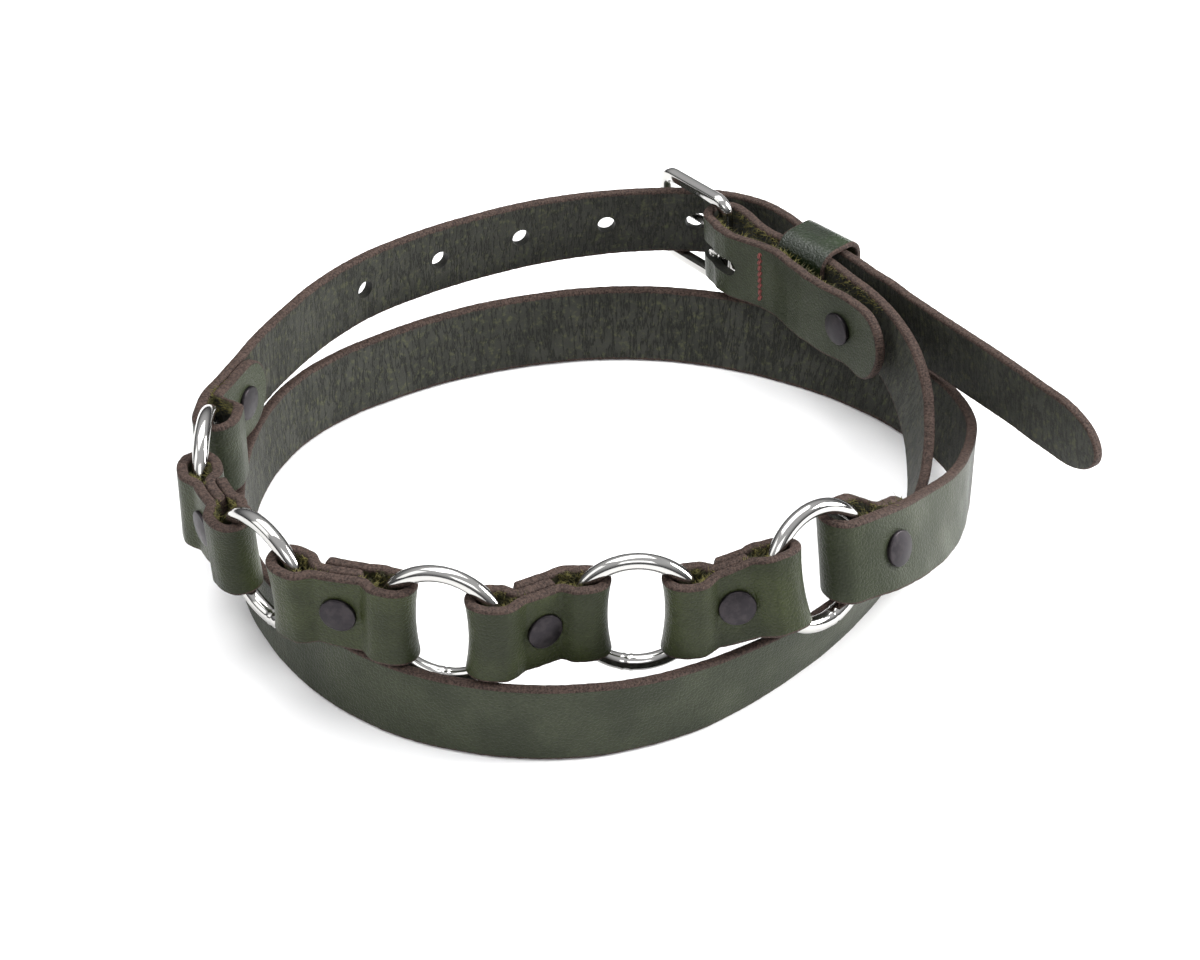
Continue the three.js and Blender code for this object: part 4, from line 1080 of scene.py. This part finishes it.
class BELT_OT_fibres(bpy.types.Operator):
    """Makes the loose leather fibres that show in the gaps of the folds."""

    bl_idname = "belt.fibres"
    bl_label = "Fibres"

    def execute(self, context):
        sizes, colours = context.scene.belt_sizes, context.scene.belt_colours
        material = loose_fibre("loose_leather_fibre", opaque(colours.fibre_dark),
                               opaque(colours.fibre_light))
        rng = np.random.default_rng(11)
        roots, ways = [], []
        for k in range(4):
            spine = spine_of(rings[k], rings[k + 1], sizes.link_reach * 1000)
            path = link_path(spine, sizes.link_bow * 1000)
            middle = sample(spine, spine.along[-1] / 2)
            front = nearest(path, middle.mid + middle.out * 2, middle.out)
            for side in (-1, 1):
                for layer in (1, -1):
                    centre = front if layer > 0 else front + side * 34.0
                    away = side * rng.uniform(3.0, 10.5, sizes.fibres)
                    along = centre + away if layer > 0 else centre - away
                    self.sow(path, along, rng, roots, ways)
        long_path, tail_path = long_strap_path(), tail_strap_path(1.0)
        end = nearest(long_path, long_route.mid[-1])
        self.sow(long_path, end - rng.uniform(3.0, 20.0, 2 * sizes.fibres), rng, roots, ways)
        self.sow(long_path, end + 15.0 + rng.uniform(3.0, 20.0, 2 * sizes.fibres), rng, roots, ways)
        start = nearest(tail_path, tail_route.mid[0])
        self.sow(tail_path, start + rng.uniform(2.0, 20.0, 2 * sizes.fibres), rng, roots, ways)
        self.sow(tail_path, start - 15.0 - rng.uniform(2.0, 18.0, 2 * sizes.fibres), rng, roots, ways)
        heel = nearest(long_path, long_route.mid[0])
        self.sow(long_path, heel + rng.uniform(0.0, 60.0, 4 * sizes.fibres), rng, roots, ways)
        self.sow(long_path, heel - 15.0 - rng.uniform(0.0, 52.0, 4 * sizes.fibres), rng, roots, ways)
        root, way = np.vstack(roots), np.vstack(ways)
        t = np.linspace(0, 1, 5)[None, :, None]
        curl = rng.normal(0, 0.45, (len(root), 1, 3))
        size = rng.uniform(0.5, 1.7, (len(root), 1, 1))
        line = root[:, None] + (way[:, None] * t + curl * t ** 2) * size
        run = unit(line[:, -1] - line[:, 0])[:, None]
        side = unit(np.cross(run, [0.31, 0.57, 0.76]))
        other = np.cross(run, side)
        turn = np.radians([0, 120, 240])[None, None, :, None]
        thin = 0.075 * (1 - t[..., None] ** 3)
        around = side[:, :, None] * np.cos(turn) + other[:, :, None] * np.sin(turn)
        points = line[:, :, None] + around * thin
        one = grid_faces(5, 3, False)
        faces = (one[None] + 15 * np.arange(len(root))[:, None, None]).reshape(-1, 4)
        put("leather_fibres", points, faces, [material])
        return {"FINISHED"}

    def sow(self, path, along, rng, roots, ways):
        """Adds fibre roots on the flesh side near the top edge, growing inwards and up, and a few near
        the bottom edge growing down."""
        at = sample(path, along)
        top = np.where(rng.random(len(along)) < 0.88, 1.0, -1.0)
        high = top * (STRAP_WIDTH / 2 - 0.3 - np.abs(rng.normal(0, 2.0, len(along))))
        roots.append(at.mid + at.rise * high[:, None] - at.out * LEATHER * 0.52)
        lift = (top * rng.uniform(0.0, 0.75, len(along)))[:, None]
        ways.append(unit(-at.out + at.rise * lift + at.run * rng.normal(0, 0.5, (len(along), 1))))


def look_at(made, target):
    """Turns a lamp or camera towards a point."""
    made.rotation_euler = (Vector(target) - made.location).to_track_quat("-Z", "Y").to_euler()


class BELT_OT_stage(bpy.types.Operator):
    """Makes the pale floor, the soft lights and the camera."""

    bl_idname = "belt.stage"
    bl_label = "Stage"

    def execute(self, context):
        scene = context.scene
        mesh = bpy.data.meshes.new("floor")
        reach = 6.0
        corners = [(-reach, -reach, 0), (reach, -reach, 0), (reach, reach, 0), (-reach, reach, 0)]
        mesh.from_pydata([(x, y, -0.0002) for x, y, _ in corners], [], [(0, 1, 2, 3)])
        mesh.materials.append(pale_paper("white_paper_sweep", opaque(scene.belt_colours.floor)))
        floor = bpy.data.objects.new("floor", mesh)
        scene.collection.objects.link(floor)
        for name, place, size, watts in (
            ("overhead_softbox", (-0.15, 0.25, 1.35), (1.5, 1.0), 21.0),
            ("left_softbox", (-1.25, -0.35, 0.75), (0.7, 0.9), 3.5),
            ("right_softbox", (1.2, 0.15, 0.6), (0.5, 0.8), 30.0),
            ("front_softbox", (0.1, -1.3, 1.0), (1.0, 0.5), 4.0),
        ):
            lamp = bpy.data.lights.new(name, "AREA")
            lamp.shape = "RECTANGLE"
            lamp.size, lamp.size_y = size
            lamp.energy = watts
            made = bpy.data.objects.new(name, lamp)
            made.location = place
            look_at(made, (0, 0, 0.02))
            scene.collection.objects.link(made)
        world = bpy.data.worlds.new("studio")
        scene.world = world
        world.use_nodes = True
        tree = world.node_tree
        tree.nodes.clear()
        way = add(tree, "TexCoord", out="Generated")
        height = add(tree, "SeparateXYZ", {"Vector": way}, "Z")
        shade = add(tree, "MapRange", (height, 0.05, 0.75), interpolation_type=SOFT)
        tones = {0: shade, 6: (0.12, 0.12, 0.125, 1), 7: (0.95, 0.95, 0.97, 1)}
        colour = add(tree, "Mix", tones, 2, data_type="RGBA")
        back = add(tree, "Background", {"Color": colour, "Strength": 0.8})
        add(tree, "OutputWorld", {"Surface": back})
        scene.view_settings.view_transform = "Standard"
        lens = bpy.data.cameras.new("camera")
        lens.sensor_width, lens.lens = 36.0, 90.0
        lens.clip_start, lens.clip_end = 0.01, 50.0
        camera = bpy.data.objects.new("camera", lens)
        camera.location = (np.array([0, -639.68, 464.76]) + SHIFT) / 1000
        camera.rotation_euler = (np.radians(54), 0, 0)
        scene.collection.objects.link(camera)
        scene.camera = camera
        return {"FINISHED"}


STEPS = ("long_strap", "tail_strap", "links", "rings", "rivets", "buckle", "keeper", "stitches",
         "fibres", "stage")
OPERATORS = (BELT_OT_long_strap, BELT_OT_tail_strap, BELT_OT_links, BELT_OT_rings, BELT_OT_rivets,
             BELT_OT_buckle, BELT_OT_keeper, BELT_OT_stitches, BELT_OT_fibres, BELT_OT_stage)


class BELT_PT_panel(bpy.types.Panel):
    """Lists the belt's sizes, colours and steps."""

    bl_idname = "BELT_PT_panel"
    bl_label = "Double ring belt"
    bl_space_type = "VIEW_3D"
    bl_region_type = "UI"
    bl_category = "Belt"

    def draw(self, context):
        for group in (context.scene.belt_sizes, context.scene.belt_colours):
            for name in group.__annotations__:
                self.layout.prop(group, name)
        for step in STEPS:
            self.layout.operator(f"belt.{step}")


CLASSES = (BeltSizes, BeltColours, *OPERATORS, BELT_PT_panel)


def register():
    for kind in CLASSES:
        bpy.utils.register_class(kind)
    bpy.types.Scene.belt_sizes = bpy.props.PointerProperty(type=BeltSizes)
    bpy.types.Scene.belt_colours = bpy.props.PointerProperty(type=BeltColours)


def unregister():
    del bpy.types.Scene.belt_colours
    del bpy.types.Scene.belt_sizes
    for kind in reversed(CLASSES):
        bpy.utils.unregister_class(kind)


def main():
    """Registers the add-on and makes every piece."""
    register()
    for step in STEPS:
        getattr(bpy.ops.belt, step)()


if __name__ == "__main__":
    main()
